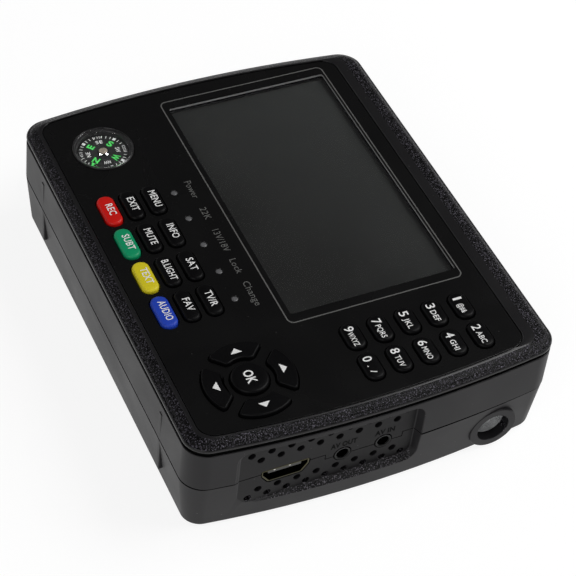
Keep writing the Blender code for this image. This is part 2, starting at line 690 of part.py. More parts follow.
def key_places():
    """Every long key as (name, x, y, length, width, colour)."""
    plain = (0.018, 0.018, 0.019)
    places = []
    for column, (name, colour) in enumerate(COLOUR_KEYS):
        x = FUNCTION_X + column * FUNCTION_PITCH_X
        places.append((name, x, FUNCTION_Y, COLOUR_KEY_LENGTH, COLOUR_KEY_WIDTH, colour))
    for row, names in enumerate(PLAIN_KEY_ROWS, 1):
        y = FUNCTION_Y + row * FUNCTION_PITCH_Y
        for column, name in enumerate(names):
            x = FUNCTION_X + column * FUNCTION_PITCH_X
            places.append((name, x, y, PLAIN_KEY_LENGTH, PLAIN_KEY_WIDTH, plain))
    for column, names in enumerate(DIGIT_COLUMNS):
        x = DIGIT_X + column * DIGIT_PITCH_X
        for row, name in enumerate(names):
            y = DIGIT_Y - row * DIGIT_PITCH_Y
            places.append((name, x, y, DIGIT_KEY_LENGTH, DIGIT_KEY_WIDTH, plain))
    return places


def turned_outline(points, degrees):
    turn = Matrix.Rotation(math.radians(degrees), 2)
    return [tuple(turn @ Vector(point)) for point in points]


def key_openings(grow):
    """Outlines of all 27 key openings, each grown by the given amount."""
    outlines = []
    for _, x, y, length, width, _ in key_places():
        outlines.append(moved(stadium(length + 2 * grow, width + 2 * grow), x, y))
    arm = wedge(PAD_INNER_RADIUS - grow, PAD_RADIUS + grow, PAD_SLIT - 2 * grow)
    outlines += [moved(turned_outline(arm, degrees), PAD_X, PAD_Y) for _, degrees in ARROW_KEYS]
    outlines.append(moved(circle(OK_RADIUS + grow), PAD_X, PAD_Y))
    return outlines


def make_long_key(name, x, y, length, width, key_material):
    """Silicone key: contact post, flange held under the cover, and a raised cap."""
    def ring(grow, z):
        return level(moved(stadium(length + 2 * grow, width + 2 * grow), x, y), z)
    bm = bmesh.new()
    add_loft(bm, [
        ring(-KEY_POST_INSET, KEY_POST_BOTTOM_Z),
        ring(-KEY_POST_INSET, KEY_FLANGE_BOTTOM_Z),
        ring(KEY_FLANGE, KEY_FLANGE_BOTTOM_Z),
        ring(KEY_FLANGE, KEY_FLANGE_TOP_Z),
        ring(0, KEY_FLANGE_TOP_Z),
        ring(0, KEY_TOP_Z - KEY_FILLET),
        ring(-KEY_FILLET, KEY_TOP_Z),
    ])
    finish(name, bm, (x, y, KEY_FLANGE_BOTTOM_Z), key_material)


def make_arrow_key(name, degrees, key_material):
    """Quarter of the cursor ring. Only its outer edge has a flange."""
    def ring(outer_grow, z, draw_in=0.0):
        outline = wedge(PAD_INNER_RADIUS + draw_in, PAD_RADIUS + outer_grow, PAD_SLIT + 2 * draw_in)
        return level(moved(turned_outline(outline, degrees), PAD_X, PAD_Y), z)
    bm = bmesh.new()
    add_loft(bm, [
        ring(-KEY_POST_INSET, KEY_POST_BOTTOM_Z, KEY_POST_INSET),
        ring(-KEY_POST_INSET, KEY_FLANGE_BOTTOM_Z, KEY_POST_INSET),
        ring(PAD_FLANGE, KEY_FLANGE_BOTTOM_Z),
        ring(PAD_FLANGE, KEY_FLANGE_TOP_Z),
        ring(0, KEY_FLANGE_TOP_Z),
        ring(0, KEY_TOP_Z - KEY_FILLET),
        ring(-KEY_FILLET, KEY_TOP_Z, KEY_FILLET),
    ])
    turn = math.radians(degrees)
    reach = (PAD_INNER_RADIUS + PAD_RADIUS) / 2
    place = (PAD_X + reach * math.cos(turn), PAD_Y + reach * math.sin(turn), KEY_FLANGE_BOTTOM_Z)
    finish(name, bm, place, key_material)


def make_ok_key(key_material):
    """Round middle key, held down by four lugs that lie in the slits of the cursor ring."""
    bm = bmesh.new()
    add_turned(bm, [
        (OK_RADIUS - KEY_POST_INSET, KEY_POST_BOTTOM_Z),
        (OK_RADIUS - KEY_POST_INSET, KEY_FLANGE_BOTTOM_Z),
        (OK_RADIUS, KEY_FLANGE_BOTTOM_Z),
        (OK_RADIUS, OK_TOP_Z - KEY_FILLET),
        (OK_RADIUS - KEY_FILLET, OK_TOP_Z),
    ], PAD_X, PAD_Y, ROUND_STEPS)
    made = finish("key_ok", bm, (PAD_X, PAD_Y, KEY_FLANGE_BOTTOM_Z), key_material)
    lugs = bmesh.new()
    half = OK_LUG_WIDTH / 2
    strip = [(-OK_LUG_REACH, -half), (OK_LUG_REACH, -half), (OK_LUG_REACH, half), (-OK_LUG_REACH, half)]
    cross = []
    for degrees in (45, 135):
        cross.append(moved(turned_outline(strip, degrees), PAD_X, PAD_Y))
    add_prism(lugs, cross[0], KEY_FLANGE_BOTTOM_Z + GAP, KEY_FLANGE_TOP_Z)
    combine(made, "UNION", lugs)
    lugs = bmesh.new()
    add_prism(lugs, cross[1], KEY_FLANGE_BOTTOM_Z + GAP, KEY_FLANGE_TOP_Z)
    combine(made, "UNION", lugs)


def make_keys(rubber):
    for name, x, y, length, width, colour in key_places():
        key_material = rubber
        if (name, colour) in COLOUR_KEYS:
            key_material = material(name + "_rubber", colour, 0.45)
        make_long_key(name, x, y, length, width, key_material)
    for name, degrees in ARROW_KEYS:
        make_arrow_key(name, degrees, rubber)
    make_ok_key(rubber)


# Covers

def make_front_cover(plastic):
    """Upper shell: side wall, groove, rim, crowned bezel and the plate under the panel."""
    bm = bmesh.new()
    add_loft(bm, [
        level(panel_outline(GAP), PLATE_TOP_Z),
        level(panel_outline(GAP), LIP_Z),
        level(panel_outline(GAP + LIP_WIDTH), LIP_Z),
        case_ring(RIM_DRAFT + CROWN_INSET, CROWN_Z),
        case_ring(RIM_DRAFT + RIM_ROUND, RIM_TOP_Z + RIM_ROUND),
        case_ring(RIM_DRAFT, RIM_TOP_Z),
        case_ring(RIM_DRAFT, RIM_BOTTOM_Z),
        case_ring(GROOVE_DEPTH, RIM_BOTTOM_Z),
        case_ring(GROOVE_DEPTH, WALL_TOP_Z),
        case_ring(WALL_TOP_DRAFT, WALL_TOP_Z),
        case_ring(0, PARTING_Z + GAP / 2),
        case_ring(WALL, PARTING_Z + GAP / 2),
        case_ring(WALL + WALL_TOP_DRAFT, PLATE_BOTTOM_Z),
    ])
    cover = finish("front_cover", bm, (0, 0, 0), plastic)
    bottom = PARTING_Z + GAP / 2

    backings = bmesh.new()
    for side, front, back in RECESSES:
        add_prism(backings, recess_backing(side, front, back), bottom, PLATE_BOTTOM_Z + EMBED)
    combine(cover, "UNION", backings)

    standing = bmesh.new()
    for x, y in corners():
        add_prism(standing, moved(circle(BOSS_RADIUS, SMALL_STEPS), x, y), bottom, PLATE_BOTTOM_Z + EMBED)
    for x, y in FRONT_POST_PLACES:
        add_prism(standing, moved(circle(POST_RADIUS, VENT_STEPS), x, y), FRONT_BOARD_TOP_Z + GAP,
                  PLATE_BOTTOM_Z + EMBED)
    for x in (-RIB_X, RIB_X):
        for side in (-1, 1):
            rib_box(standing, x, side, bottom, RIB_TOP_Z)
    add_box(standing, (RECESS_INNER_X, TAB_FRONT, PARTING_Z - TAB_DROP + GAP / 2),
            (RECESS_FLOOR_X + EMBED, TAB_BACK, PARTING_Z + EMBED))
    combine(cover, "UNION", standing)

    sides = bmesh.new()
    for side, front, back in RECESSES:
        add_recess(sides, side, front, back)
    combine(cover, "DIFFERENCE", sides)

    holes = bmesh.new()
    add_vents(holes, TOP_VENT_ROWS)
    add_side_holes(holes)
    for x, y in corners():
        bore = moved(circle(BOSS_BORE_RADIUS, VENT_STEPS), x, y)
        add_prism(holes, bore, bottom - OVERRUN, BOSS_BORE_TOP_Z)
    combine(cover, "DIFFERENCE", holes)

    openings = bmesh.new()
    for outline in key_openings(GAP):
        add_prism(openings, outline, PLATE_BOTTOM_Z - OVERRUN, LIP_Z + OVERRUN)
    for place in range(LAMP_COUNT):
        hole = moved(circle(LAMP_RADIUS + GAP, VENT_STEPS), LAMP_X + place * LAMP_PITCH, LAMP_Y)
        add_prism(openings, hole, PLATE_BOTTOM_Z - OVERRUN, LIP_Z + OVERRUN)
    cup = moved(circle(COMPASS_CUP_RADIUS + GAP), COMPASS_X, COMPASS_Y)
    add_prism(openings, cup, PLATE_BOTTOM_Z - OVERRUN, LIP_Z + OVERRUN)
    window = rounded(OPENING_WIDTH + 2 * GAP, OPENING_DEPTH + 2 * GAP, WINDOW_CORNER, 1)
    add_prism(openings, moved(window, SCREEN_X, SCREEN_Y), PLATE_BOTTOM_Z - OVERRUN, PLATE_TOP_Z)
    combine(cover, "DIFFERENCE", openings)

    rebate = bmesh.new()
    grown = moved(rectangle(WINDOW_WIDTH + 2 * GAP, WINDOW_DEPTH + 2 * GAP), SCREEN_X, SCREEN_Y)
    add_prism(rebate, grown, WINDOW_BOTTOM_Z - GAP, LIP_Z + OVERRUN)
    combine(cover, "DIFFERENCE", rebate)


def make_back_cover(plastic):
    """Lower shell: drafted wall, rounded base edge, floor, bosses, posts and torch tube."""
    top = PARTING_Z - GAP / 2
    draft = BASE_DRAFT
    edge = BASE_ROUND * (1 - math.sqrt(0.5))
    bm = bmesh.new()
    add_loft(bm, [
        case_ring(WALL + draft, FLOOR),
        case_ring(WALL, top),
        case_ring(0, top),
        case_ring(draft, BASE_ROUND),
        case_ring(draft + edge, edge),
        case_ring(draft + BASE_ROUND, 0),
    ])
    cover = finish("back_cover", bm, (0, 0, 0), plastic)

    backings = bmesh.new()
    for side, front, back in RECESSES:
        add_prism(backings, recess_backing(side, front, back), FLOOR - EMBED, top)
    combine(cover, "UNION", backings)

    standing = bmesh.new()
    for x, y in corners():
        add_prism(standing, moved(circle(BOSS_RADIUS, SMALL_STEPS), x, y), FLOOR - EMBED, top)
    for x, y in MAIN_POST_PLACES:
        add_prism(standing, moved(circle(POST_RADIUS, VENT_STEPS), x, y), FLOOR - EMBED,
                  MAIN_BOARD_BOTTOM_Z - GAP)
    for x in (-RIB_X, RIB_X):
        for side in (-1, 1):
            rib_box(standing, x, side, RIB_BOTTOM_Z, top)
    add_cradle(standing)
    combine(cover, "UNION", standing)

    torch = bmesh.new()
    add_turned_x(torch, [(TORCH_COLLAR_RADIUS, TORCH_TUBE_END_X), (TORCH_COLLAR_RADIUS, TORCH_COLLAR_X)],
                 TORCH_Y, TORCH_Z, ROUND_STEPS)
    combine(cover, "UNION", torch)

    sides = bmesh.new()
    for side, front, back in RECESSES:
        add_recess(sides, side, front, back)
    combine(cover, "DIFFERENCE", sides)

    tab = bmesh.new()
    add_box(tab, (RECESS_INNER_X - OVERRUN, TAB_FRONT - GAP, PARTING_Z - TAB_DROP - GAP / 2),
            (RECESS_FLOOR_X + OVERRUN, TAB_BACK + GAP, PARTING_Z + OVERRUN))
    combine(cover, "DIFFERENCE", tab)

    holes = bmesh.new()
    add_vents(holes, LOW_VENT_ROWS)
    add_side_holes(holes)
    for x, y in corners():
        add_turned(holes, [(COUNTERBORE_RADIUS, -OVERRUN), (COUNTERBORE_RADIUS, COUNTERBORE_TOP_Z),
                           (BOSS_BORE_RADIUS, COUNTERBORE_TOP_Z), (BOSS_BORE_RADIUS, top + OVERRUN)],
                   x, y, SMALL_STEPS)
    for x, y in grille_places():
        add_prism(holes, moved(circle(GRILLE_HOLE_RADIUS, VENT_STEPS), x, y), -OVERRUN, FLOOR + OVERRUN)
    add_turned_x(holes, [(TORCH_LEDGE_RADIUS, TORCH_TUBE_END_X - OVERRUN), (TORCH_LEDGE_RADIUS, LEDGE_X),
                         (TORCH_BORE_RADIUS, LEDGE_X), (TORCH_BORE_RADIUS, TORCH_COLLAR_X + OVERRUN)],
                 TORCH_Y, TORCH_Z, ROUND_STEPS)
    combine(cover, "DIFFERENCE", holes)


def grille_places():
    """Speaker holes: one in the middle, and rings of six, twelve and so on round it."""
    places = [(SPEAKER_X, SPEAKER_Y)]
    for ring in range(1, GRILLE_RINGS + 1):
        places += moved(circle(ring * GRILLE_PITCH, 6 * ring), SPEAKER_X, SPEAKER_Y)
    return places


def add_cradle(bm):
    """Two low ribs on the floor that keep the pair of cells from rolling."""
    clear = CELL_RADIUS - math.sqrt(CELL_RADIUS ** 2 - (CELL_RADIUS - CRADLE_HEIGHT) ** 2)
    left = CELL_X - CELL_LENGTH / 2
    for edge, side in ((CELL_FRONT_Y - CELL_RADIUS, -1), (CELL_BACK_Y + CELL_RADIUS, 1)):
        near = edge - side * (clear - GAP)
        low, high = sorted((near, near + side * CRADLE_WIDTH))
        add_box(bm, (left, low, FLOOR - EMBED), (left + CELL_LENGTH, high, FLOOR + CRADLE_HEIGHT))


# Panel, display and compass

def make_panel(print_material):
    bm = bmesh.new()
    add_prism(bm, panel_outline(0), PANEL_BOTTOM_Z, PANEL_TOP_Z)
    panel = finish("front_panel", bm, (0, 0, 0), print_material)
    openings = bmesh.new()
    outlines = key_openings(GAP)
    for place in range(LAMP_COUNT):
        outlines.append(moved(circle(LAMP_RADIUS + GAP, VENT_STEPS), LAMP_X + place * LAMP_PITCH, LAMP_Y))
    outlines.append(moved(circle(COMPASS_RIM_RADIUS + GAP), COMPASS_X, COMPASS_Y))
    outlines.append(moved(rounded(OPENING_WIDTH, OPENING_DEPTH, WINDOW_CORNER, 1), SCREEN_X, SCREEN_Y))
    for outline in outlines:
        add_prism(openings, outline, PANEL_BOTTOM_Z - OVERRUN, PANEL_TOP_Z + OVERRUN)
    combine(panel, "DIFFERENCE", openings)


def make_display(clear, seal, steel, glass):
    bm = bmesh.new()
    pane = moved(rectangle(WINDOW_WIDTH, WINDOW_DEPTH), SCREEN_X, SCREEN_Y)
    add_prism(bm, pane, WINDOW_BOTTOM_Z, PLATE_TOP_Z)
    finish("display_window", bm, (0, 0, 0), clear)

    lcd_width = OPENING_WIDTH - 2 * GAP
    lcd_depth = OPENING_DEPTH - 2 * GAP
    bm = bmesh.new()
    add_prism(bm, moved(rectangle(lcd_width, lcd_depth), SCREEN_X, SCREEN_Y), LCD_BOTTOM_Z, LCD_TOP_Z)
    finish("lcd_glass", bm, (0, 0, 0), glass)

    tray = rectangle(OPENING_WIDTH + 2 * FRAME_SIDE, OPENING_DEPTH + 2 * FRAME_END)
    bm = bmesh.new()
    add_prism(bm, moved(tray, SCREEN_X, SCREEN_Y), FRAME_BOTTOM_Z, FRAME_LIP_Z)
    frame = finish("lcd_frame", bm, (0, 0, 0), steel)
    well = bmesh.new()
    well_outline = moved(rectangle(OPENING_WIDTH, OPENING_DEPTH), SCREEN_X, SCREEN_Y)
    add_prism(well, well_outline, LCD_BOTTOM_Z - GAP, FRAME_LIP_Z + OVERRUN)
    combine(frame, "DIFFERENCE", well)

    bm = bmesh.new()
    outer = rectangle(OPENING_WIDTH + 2 * GASKET_WIDTH, OPENING_DEPTH + 2 * GASKET_WIDTH)
    add_prism(bm, moved(outer, SCREEN_X, SCREEN_Y), FRAME_LIP_Z + GAP, PLATE_BOTTOM_Z - GAP)
    gasket = finish("window_gasket", bm, (0, 0, 0), seal)
    hole = bmesh.new()
    add_prism(hole, well_outline, FRAME_LIP_Z - OVERRUN, PLATE_BOTTOM_Z + OVERRUN)
    combine(gasket, "DIFFERENCE", hole)


def make_compass(black, clear, card_material):
    """Cup in the panel, window over it, and the card that turns on the cup's pin."""
    card_bottom = COMPASS_CARD_TOP_Z - COMPASS_CARD_THICKNESS
    floor_top = COMPASS_CUP_BOTTOM_Z + COMPASS_CUP_FLOOR
    inner = COMPASS_BORE_RADIUS - COMPASS_LEDGE
    bm = bmesh.new()
    add_turned(bm, [
        (COMPASS_PIN_RADIUS, card_bottom - GAP),
        (COMPASS_PIN_RADIUS, floor_top),
        (inner, floor_top),
        (inner, COMPASS_WINDOW_BOTTOM_Z - GAP),
        (COMPASS_BORE_RADIUS, COMPASS_WINDOW_BOTTOM_Z - GAP),
        (COMPASS_BORE_RADIUS, COMPASS_RIM_TOP_Z),
        (COMPASS_RIM_RADIUS, COMPASS_RIM_TOP_Z),
        (COMPASS_RIM_RADIUS, PLATE_TOP_Z + GAP),
        (COMPASS_CUP_RADIUS, PLATE_TOP_Z + GAP),
        (COMPASS_CUP_RADIUS, COMPASS_CUP_BOTTOM_Z),
    ], COMPASS_X, COMPASS_Y, ROUND_STEPS)
    finish("compass_housing", bm, (COMPASS_X, COMPASS_Y, COMPASS_CUP_BOTTOM_Z), black)

    bm = bmesh.new()
    pane = moved(circle(COMPASS_BORE_RADIUS - GAP), COMPASS_X, COMPASS_Y)
    add_prism(bm, pane, COMPASS_WINDOW_BOTTOM_Z, COMPASS_WINDOW_TOP_Z)
    finish("compass_window", bm, (COMPASS_X, COMPASS_Y, COMPASS_WINDOW_BOTTOM_Z), clear)

    bm = bmesh.new()
    add_turned(bm, [
        (COMPASS_CARD_RADIUS, card_bottom),
        (COMPASS_CARD_RADIUS, COMPASS_CARD_TOP_Z),
        (COMPASS_CAP_RADIUS, COMPASS_CARD_TOP_Z),
        (COMPASS_CAP_RADIUS, COMPASS_CARD_TOP_Z + COMPASS_CAP_HEIGHT),
    ], COMPASS_X, COMPASS_Y, ROUND_STEPS)
    finish("compass_card", bm, (COMPASS_X, COMPASS_Y, card_bottom), card_material)


def make_lamp_pipe(clear):
    """Clear strip on the front board with one round pillar for each signal lamp."""
    bottom = FRONT_BOARD_TOP_Z + GAP
    top = bottom + LAMP_BAR_THICKNESS
    bm = bmesh.new()
    span = (LAMP_COUNT - 1) * LAMP_PITCH
    half = LAMP_BAR_WIDTH / 2
    add_box(bm, (LAMP_X - half, LAMP_Y - half, bottom), (LAMP_X + span + half, LAMP_Y + half, top))
    pipe = finish("signal_light_pipe", bm, (0, 0, 0), clear)
    pillars = bmesh.new()
    for place in range(LAMP_COUNT):
        outline = moved(circle(LAMP_RADIUS, SMALL_STEPS), LAMP_X + place * LAMP_PITCH, LAMP_Y)
        add_prism(pillars, outline, top - EMBED, PANEL_TOP_Z - LAMP_SINK)
    combine(pipe, "UNION", pillars)


# Boards and what stands on them

def make_boards(laminate, rubber):
    bm = bmesh.new()
    width = 2 * BOARD_RIGHT
    depth = CASE_DEPTH - 2 * FRONT_BOARD_MARGIN
    notch_x = width / 2 - SCREW_X + BOSS_RADIUS + BOSS_CLEARANCE
    notch_y = depth / 2 - SCREW_Y + BOSS_RADIUS + BOSS_CLEARANCE
    outline = notched(width, depth, notch_x, notch_y)
    add_prism(bm, outline, FRONT_BOARD_TOP_Z - BOARD_THICKNESS, FRONT_BOARD_TOP_Z)
    finish("front_board", bm, (0, 0, 0), laminate)

    bm = bmesh.new()
    add_box(bm, (-BOARD_RIGHT, MAIN_BOARD_FRONT, MAIN_BOARD_BOTTOM_Z),
            (BOARD_RIGHT, MAIN_BOARD_BACK, MAIN_BOARD_TOP_Z))
    finish("main_board", bm, (0, 0, 0), laminate)

    left = FUNCTION_X - COLOUR_KEY_LENGTH / 2 - SHEET_MARGIN
    right = DIGIT_X + DIGIT_PITCH_X + DIGIT_KEY_LENGTH / 2 + KEY_FLANGE
    front = FUNCTION_Y - COLOUR_KEY_WIDTH / 2 - SHEET_MARGIN
    step_y = FUNCTION_Y + 2 * FUNCTION_PITCH_Y + PLAIN_KEY_WIDTH / 2 + KEY_FLANGE
    step_x = DIGIT_X - DIGIT_KEY_LENGTH / 2 - KEY_FLANGE
    pad_x = PAD_X - PAD_RADIUS - PAD_FLANGE
    back = DIGIT_Y + DIGIT_KEY_WIDTH / 2 + SHEET_MARGIN
    pad_y = PAD_Y + PAD_RADIUS + PAD_FLANGE
    boss_x = SCREW_X - BOSS_RADIUS - SHEET_RELIEF
    boss_y = -SCREW_Y + BOSS_RADIUS + SHEET_RELIEF
    outline = [
        (left, front), (boss_x, front), (boss_x, boss_y), (right, boss_y), (right, back),
        (step_x, back), (step_x, pad_y), (pad_x, pad_y), (pad_x, step_y), (left, step_y),
    ]
    bm = bmesh.new()
    add_prism(bm, outline, SHEET_BOTTOM_Z, SHEET_TOP_Z)
    sheet = finish("keypad_sheet", bm, (0, 0, 0), rubber)
    windows = bmesh.new()
    for _, x, y, length, width, _ in key_places():
        room = 2 * (KEY_POST_INSET - SHEET_RELIEF)
        hole = moved(rectangle(length - room, width - room), x, y)
        add_prism(windows, hole, SHEET_BOTTOM_Z - OVERRUN, SHEET_TOP_Z + OVERRUN)
    pad_hole = moved(circle(PAD_RADIUS - KEY_POST_INSET + SHEET_RELIEF), PAD_X, PAD_Y)
    add_prism(windows, pad_hole, SHEET_BOTTOM_Z - OVERRUN, SHEET_TOP_Z + OVERRUN)
    post_x, post_y = FRONT_POST_PLACES[1]
    post_hole = moved(circle(POST_RADIUS + SHEET_RELIEF, VENT_STEPS), post_x, post_y)
    add_prism(windows, post_hole, SHEET_BOTTOM_Z - OVERRUN, SHEET_TOP_Z + OVERRUN)
    combine(sheet, "DIFFERENCE", windows)


def make_right_sockets(steel, black):
    """Video socket and the two round jacks, whose mouths lie in the recess floor."""
    bm = bmesh.new()
    add_prism_x(bm, video_outline(0), SOCKET_FACE_X - VIDEO_DEPTH, SOCKET_FACE_X)
    video = finish("video_socket", bm, (0, 0, 0), steel)
    pocket = bmesh.new()
    add_prism_x(pocket, video_outline(-VIDEO_SKIN), SOCKET_FACE_X - VIDEO_DEPTH + VIDEO_TONGUE,
                SOCKET_FACE_X + OVERRUN)
    combine(video, "DIFFERENCE", pocket)
    tongue = bmesh.new()
    middle = VIDEO_TOP_Z - VIDEO_SHOULDER
    half_length = VIDEO_FOOT_WIDTH / 2
    deep = SOCKET_FACE_X - VIDEO_DEPTH + VIDEO_TONGUE / 2
    add_box(tongue, (deep, VIDEO_Y - half_length, middle - VIDEO_TONGUE / 2),
            (SOCKET_FACE_X - VIDEO_SKIN, VIDEO_Y + half_length, middle + VIDEO_TONGUE / 2))
    combine(video, "UNION", tongue)

    for name, y in JACKS:
        bm = bmesh.new()
        body = moved(rectangle(JACK_BODY_WIDTH, JACK_BODY_HEIGHT), y, JACK_Z)
        add_prism_x(bm, body, RECESS_INNER_X - GAP - JACK_BODY_LENGTH, RECESS_INNER_X - GAP)
        jack = finish(name, bm, (0, 0, 0), black)
        nose = bmesh.new()
        add_turned_x(nose, [(JACK_RING_RADIUS, RECESS_INNER_X - EMBED), (JACK_RING_RADIUS, SOCKET_FACE_X)],
                     y, JACK_Z, SMALL_STEPS)
        combine(jack, "UNION", nose)
        bore = bmesh.new()
        add_turned_x(bore, [(JACK_BORE_RADIUS, SOCKET_FACE_X - JACK_BORE_DEPTH),
                            (JACK_BORE_RADIUS, SOCKET_FACE_X + OVERRUN)], y, JACK_Z, SMALL_STEPS)
        combine(jack, "DIFFERENCE", bore)


def make_left_sockets(steel, black):
    """Aerial connector, power inlet, data socket and slide switch on the left-hand side."""
    tip = LEFT - LNB_REACH
    inside = -(RECESS_INNER_X - GAP)
    bm = bmesh.new()
    add_turned_x(bm, [
        (LNB_BORE_RADIUS, tip + LNB_BORE_DEPTH),
        (LNB_BORE_RADIUS, tip),
        (LNB_RADIUS - LNB_CHAMFER, tip),
        (LNB_RADIUS, tip + LNB_CHAMFER),
        (LNB_RADIUS, inside),
        (LNB_NUT_RADIUS, inside),
        (LNB_NUT_RADIUS, inside + LNB_NUT_THICKNESS),
    ], LNB_Y, LNB_Z, ROUND_STEPS)
    finish("lnb_connector", bm, (0, 0, 0), steel)

    bm = bmesh.new()
    body = moved(rectangle(DC_BODY_WIDTH, DC_BODY_HEIGHT), DC_Y, DC_Z)
    add_prism_x(bm, body, inside, inside + DC_BODY_LENGTH)
    jack = finish("power_inlet", bm, (0, 0, 0), black)
    nose = bmesh.new()
    add_turned_x(nose, [(DC_NOSE_RADIUS, -SOCKET_FACE_X), (DC_NOSE_RADIUS, inside + EMBED)],
                 DC_Y, DC_Z, SMALL_STEPS)
    combine(jack, "UNION", nose)
    bore = bmesh.new()
    face = -SOCKET_FACE_X
    add_turned_x(bore, [
        (DC_PIN_RADIUS, face - OVERRUN),
        (DC_BORE_RADIUS, face - OVERRUN),
        (DC_BORE_RADIUS, face + DC_BORE_DEPTH),
        (DC_PIN_RADIUS, face + DC_BORE_DEPTH),
        (DC_PIN_RADIUS, face + EMBED),
        (DC_PIN_RADIUS / 2, face),
    ], DC_Y, DC_Z, SMALL_STEPS)
    combine(jack, "DIFFERENCE", bore)

    bm = bmesh.new()
    back = -SOCKET_FACE_X + DATA_DEPTH
    add_prism_x(bm, moved(rectangle(DATA_WIDTH, DATA_HEIGHT), DATA_Y, DATA_Z), -SOCKET_FACE_X, back)
    data = finish("data_socket", bm, (0, 0, 0), steel)
    pocket = bmesh.new()
    mouth = moved(rectangle(DATA_WIDTH - 2 * DATA_SKIN, DATA_HEIGHT - 2 * DATA_SKIN), DATA_Y, DATA_Z)
    add_prism_x(pocket, mouth, -SOCKET_FACE_X - OVERRUN, back - DATA_TONGUE_MARGIN)
    combine(data, "DIFFERENCE", pocket)
    tongue = bmesh.new()
    bar = rectangle(DATA_WIDTH - 2 * DATA_SKIN - 2 * DATA_TONGUE_MARGIN, DATA_TONGUE_THICKNESS)
    drop = DATA_Z + DATA_HEIGHT / 2 - DATA_SKIN - DATA_TONGUE_MARGIN - DATA_TONGUE_THICKNESS / 2
    add_prism_x(tongue, moved(bar, DATA_Y, drop), -SOCKET_FACE_X + DATA_TONGUE_MARGIN, back - DATA_SKIN)
    combine(data, "UNION", tongue)

    bm = bmesh.new()
    body = moved(rectangle(SWITCH_BODY_WIDTH, SWITCH_BODY_HEIGHT), SWITCH_Y, SWITCH_Z)
    add_prism_x(bm, body, inside, inside + SWITCH_BODY_DEPTH)
    switch = finish("power_switch_body", bm, (0, 0, 0), black)
    slot = bmesh.new()
    slot_width = SWITCH_KNOB_WIDTH + SWITCH_TRAVEL + 2 * GAP
    mouth = moved(rectangle(slot_width, SWITCH_KNOB_HEIGHT + 2 * GAP), SWITCH_Y, SWITCH_Z)
    add_prism_x(slot, mouth, inside - OVERRUN, inside + SWITCH_SOCKET_DEPTH)
    combine(switch, "DIFFERENCE", slot)
    bm = bmesh.new()
    knob_y = SWITCH_Y - SWITCH_TRAVEL / 2
    knob = moved(rectangle(SWITCH_KNOB_WIDTH, SWITCH_KNOB_HEIGHT), knob_y, SWITCH_Z)
    add_prism_x(bm, knob, -RECESS_FLOOR_X - SWITCH_KNOB_REACH, inside + SWITCH_SOCKET_DEPTH - GAP)
    finish("power_switch_knob", bm, (inside, knob_y, SWITCH_Z), black)


def make_inner_parts(steel, black, wrap):
    """Tuner can behind the aerial connector, speaker on the floor and the pair of cells."""
    near = -(RECESS_INNER_X - GAP) + LNB_NUT_THICKNESS + GAP
    bm = bmesh.new()
    add_box(bm, (near, LNB_Y - TUNER_WIDTH / 2, ON_MAIN_BOARD_Z),
            (near + TUNER_LENGTH, LNB_Y + TUNER_WIDTH / 2, ON_MAIN_BOARD_Z + TUNER_HEIGHT))
    finish("tuner_can", bm, (0, 0, 0), steel)

    bottom = FLOOR + GAP
    bm = bmesh.new()
    add_turned(bm, [
        (SPEAKER_RADIUS, bottom),
        (SPEAKER_RADIUS, bottom + SPEAKER_FRAME_HEIGHT),
        (SPEAKER_MAGNET_RADIUS, bottom + SPEAKER_FRAME_HEIGHT),
        (SPEAKER_MAGNET_RADIUS, bottom + SPEAKER_FRAME_HEIGHT + SPEAKER_MAGNET_HEIGHT),
    ], SPEAKER_X, SPEAKER_Y, ROUND_STEPS)
    finish("speaker", bm, (0, 0, 0), black)

    left = CELL_X - CELL_LENGTH / 2
    right = CELL_X + CELL_LENGTH / 2
    for name, y in (("battery_cell_a", CELL_FRONT_Y), ("battery_cell_b", CELL_BACK_Y)):
        bm = bmesh.new()
        add_turned_x(bm, [(CELL_RADIUS, left), (CELL_RADIUS, right), (CELL_CAP_RADIUS, right),
                          (CELL_CAP_RADIUS, right + CELL_CAP_HEIGHT)], y, CELL_Z, ROUND_STEPS)
        finish(name, bm, (0, 0, 0), wrap)


def make_torch(clear, white):
    bm = bmesh.new()
    radius = TORCH_BORE_RADIUS - GAP
    add_turned_x(bm, [(radius, LENS_INNER_X), (radius, LENS_OUTER_X)], TORCH_Y, TORCH_Z, ROUND_STEPS)
    finish("torch_lens", bm, (0, 0, 0), clear)

    seat = TORCH_TUBE_END_X - GAP
    shoulder = LEDGE_X - TORCH_LAMP_DOME
    bm = bmesh.new()
    add_turned_x(bm, [
        (TORCH_FLANGE_RADIUS, seat - TORCH_LAMP_FLANGE_THICKNESS),
        (TORCH_FLANGE_RADIUS, seat),
        (TORCH_LAMP_RADIUS, seat),
        (TORCH_LAMP_RADIUS, shoulder),
        (TORCH_LAMP_RADIUS / 2, LEDGE_X - GAP),
    ], TORCH_Y, TORCH_Z, SMALL_STEPS)
    finish("torch_lamp", bm, (0, 0, 0), white)


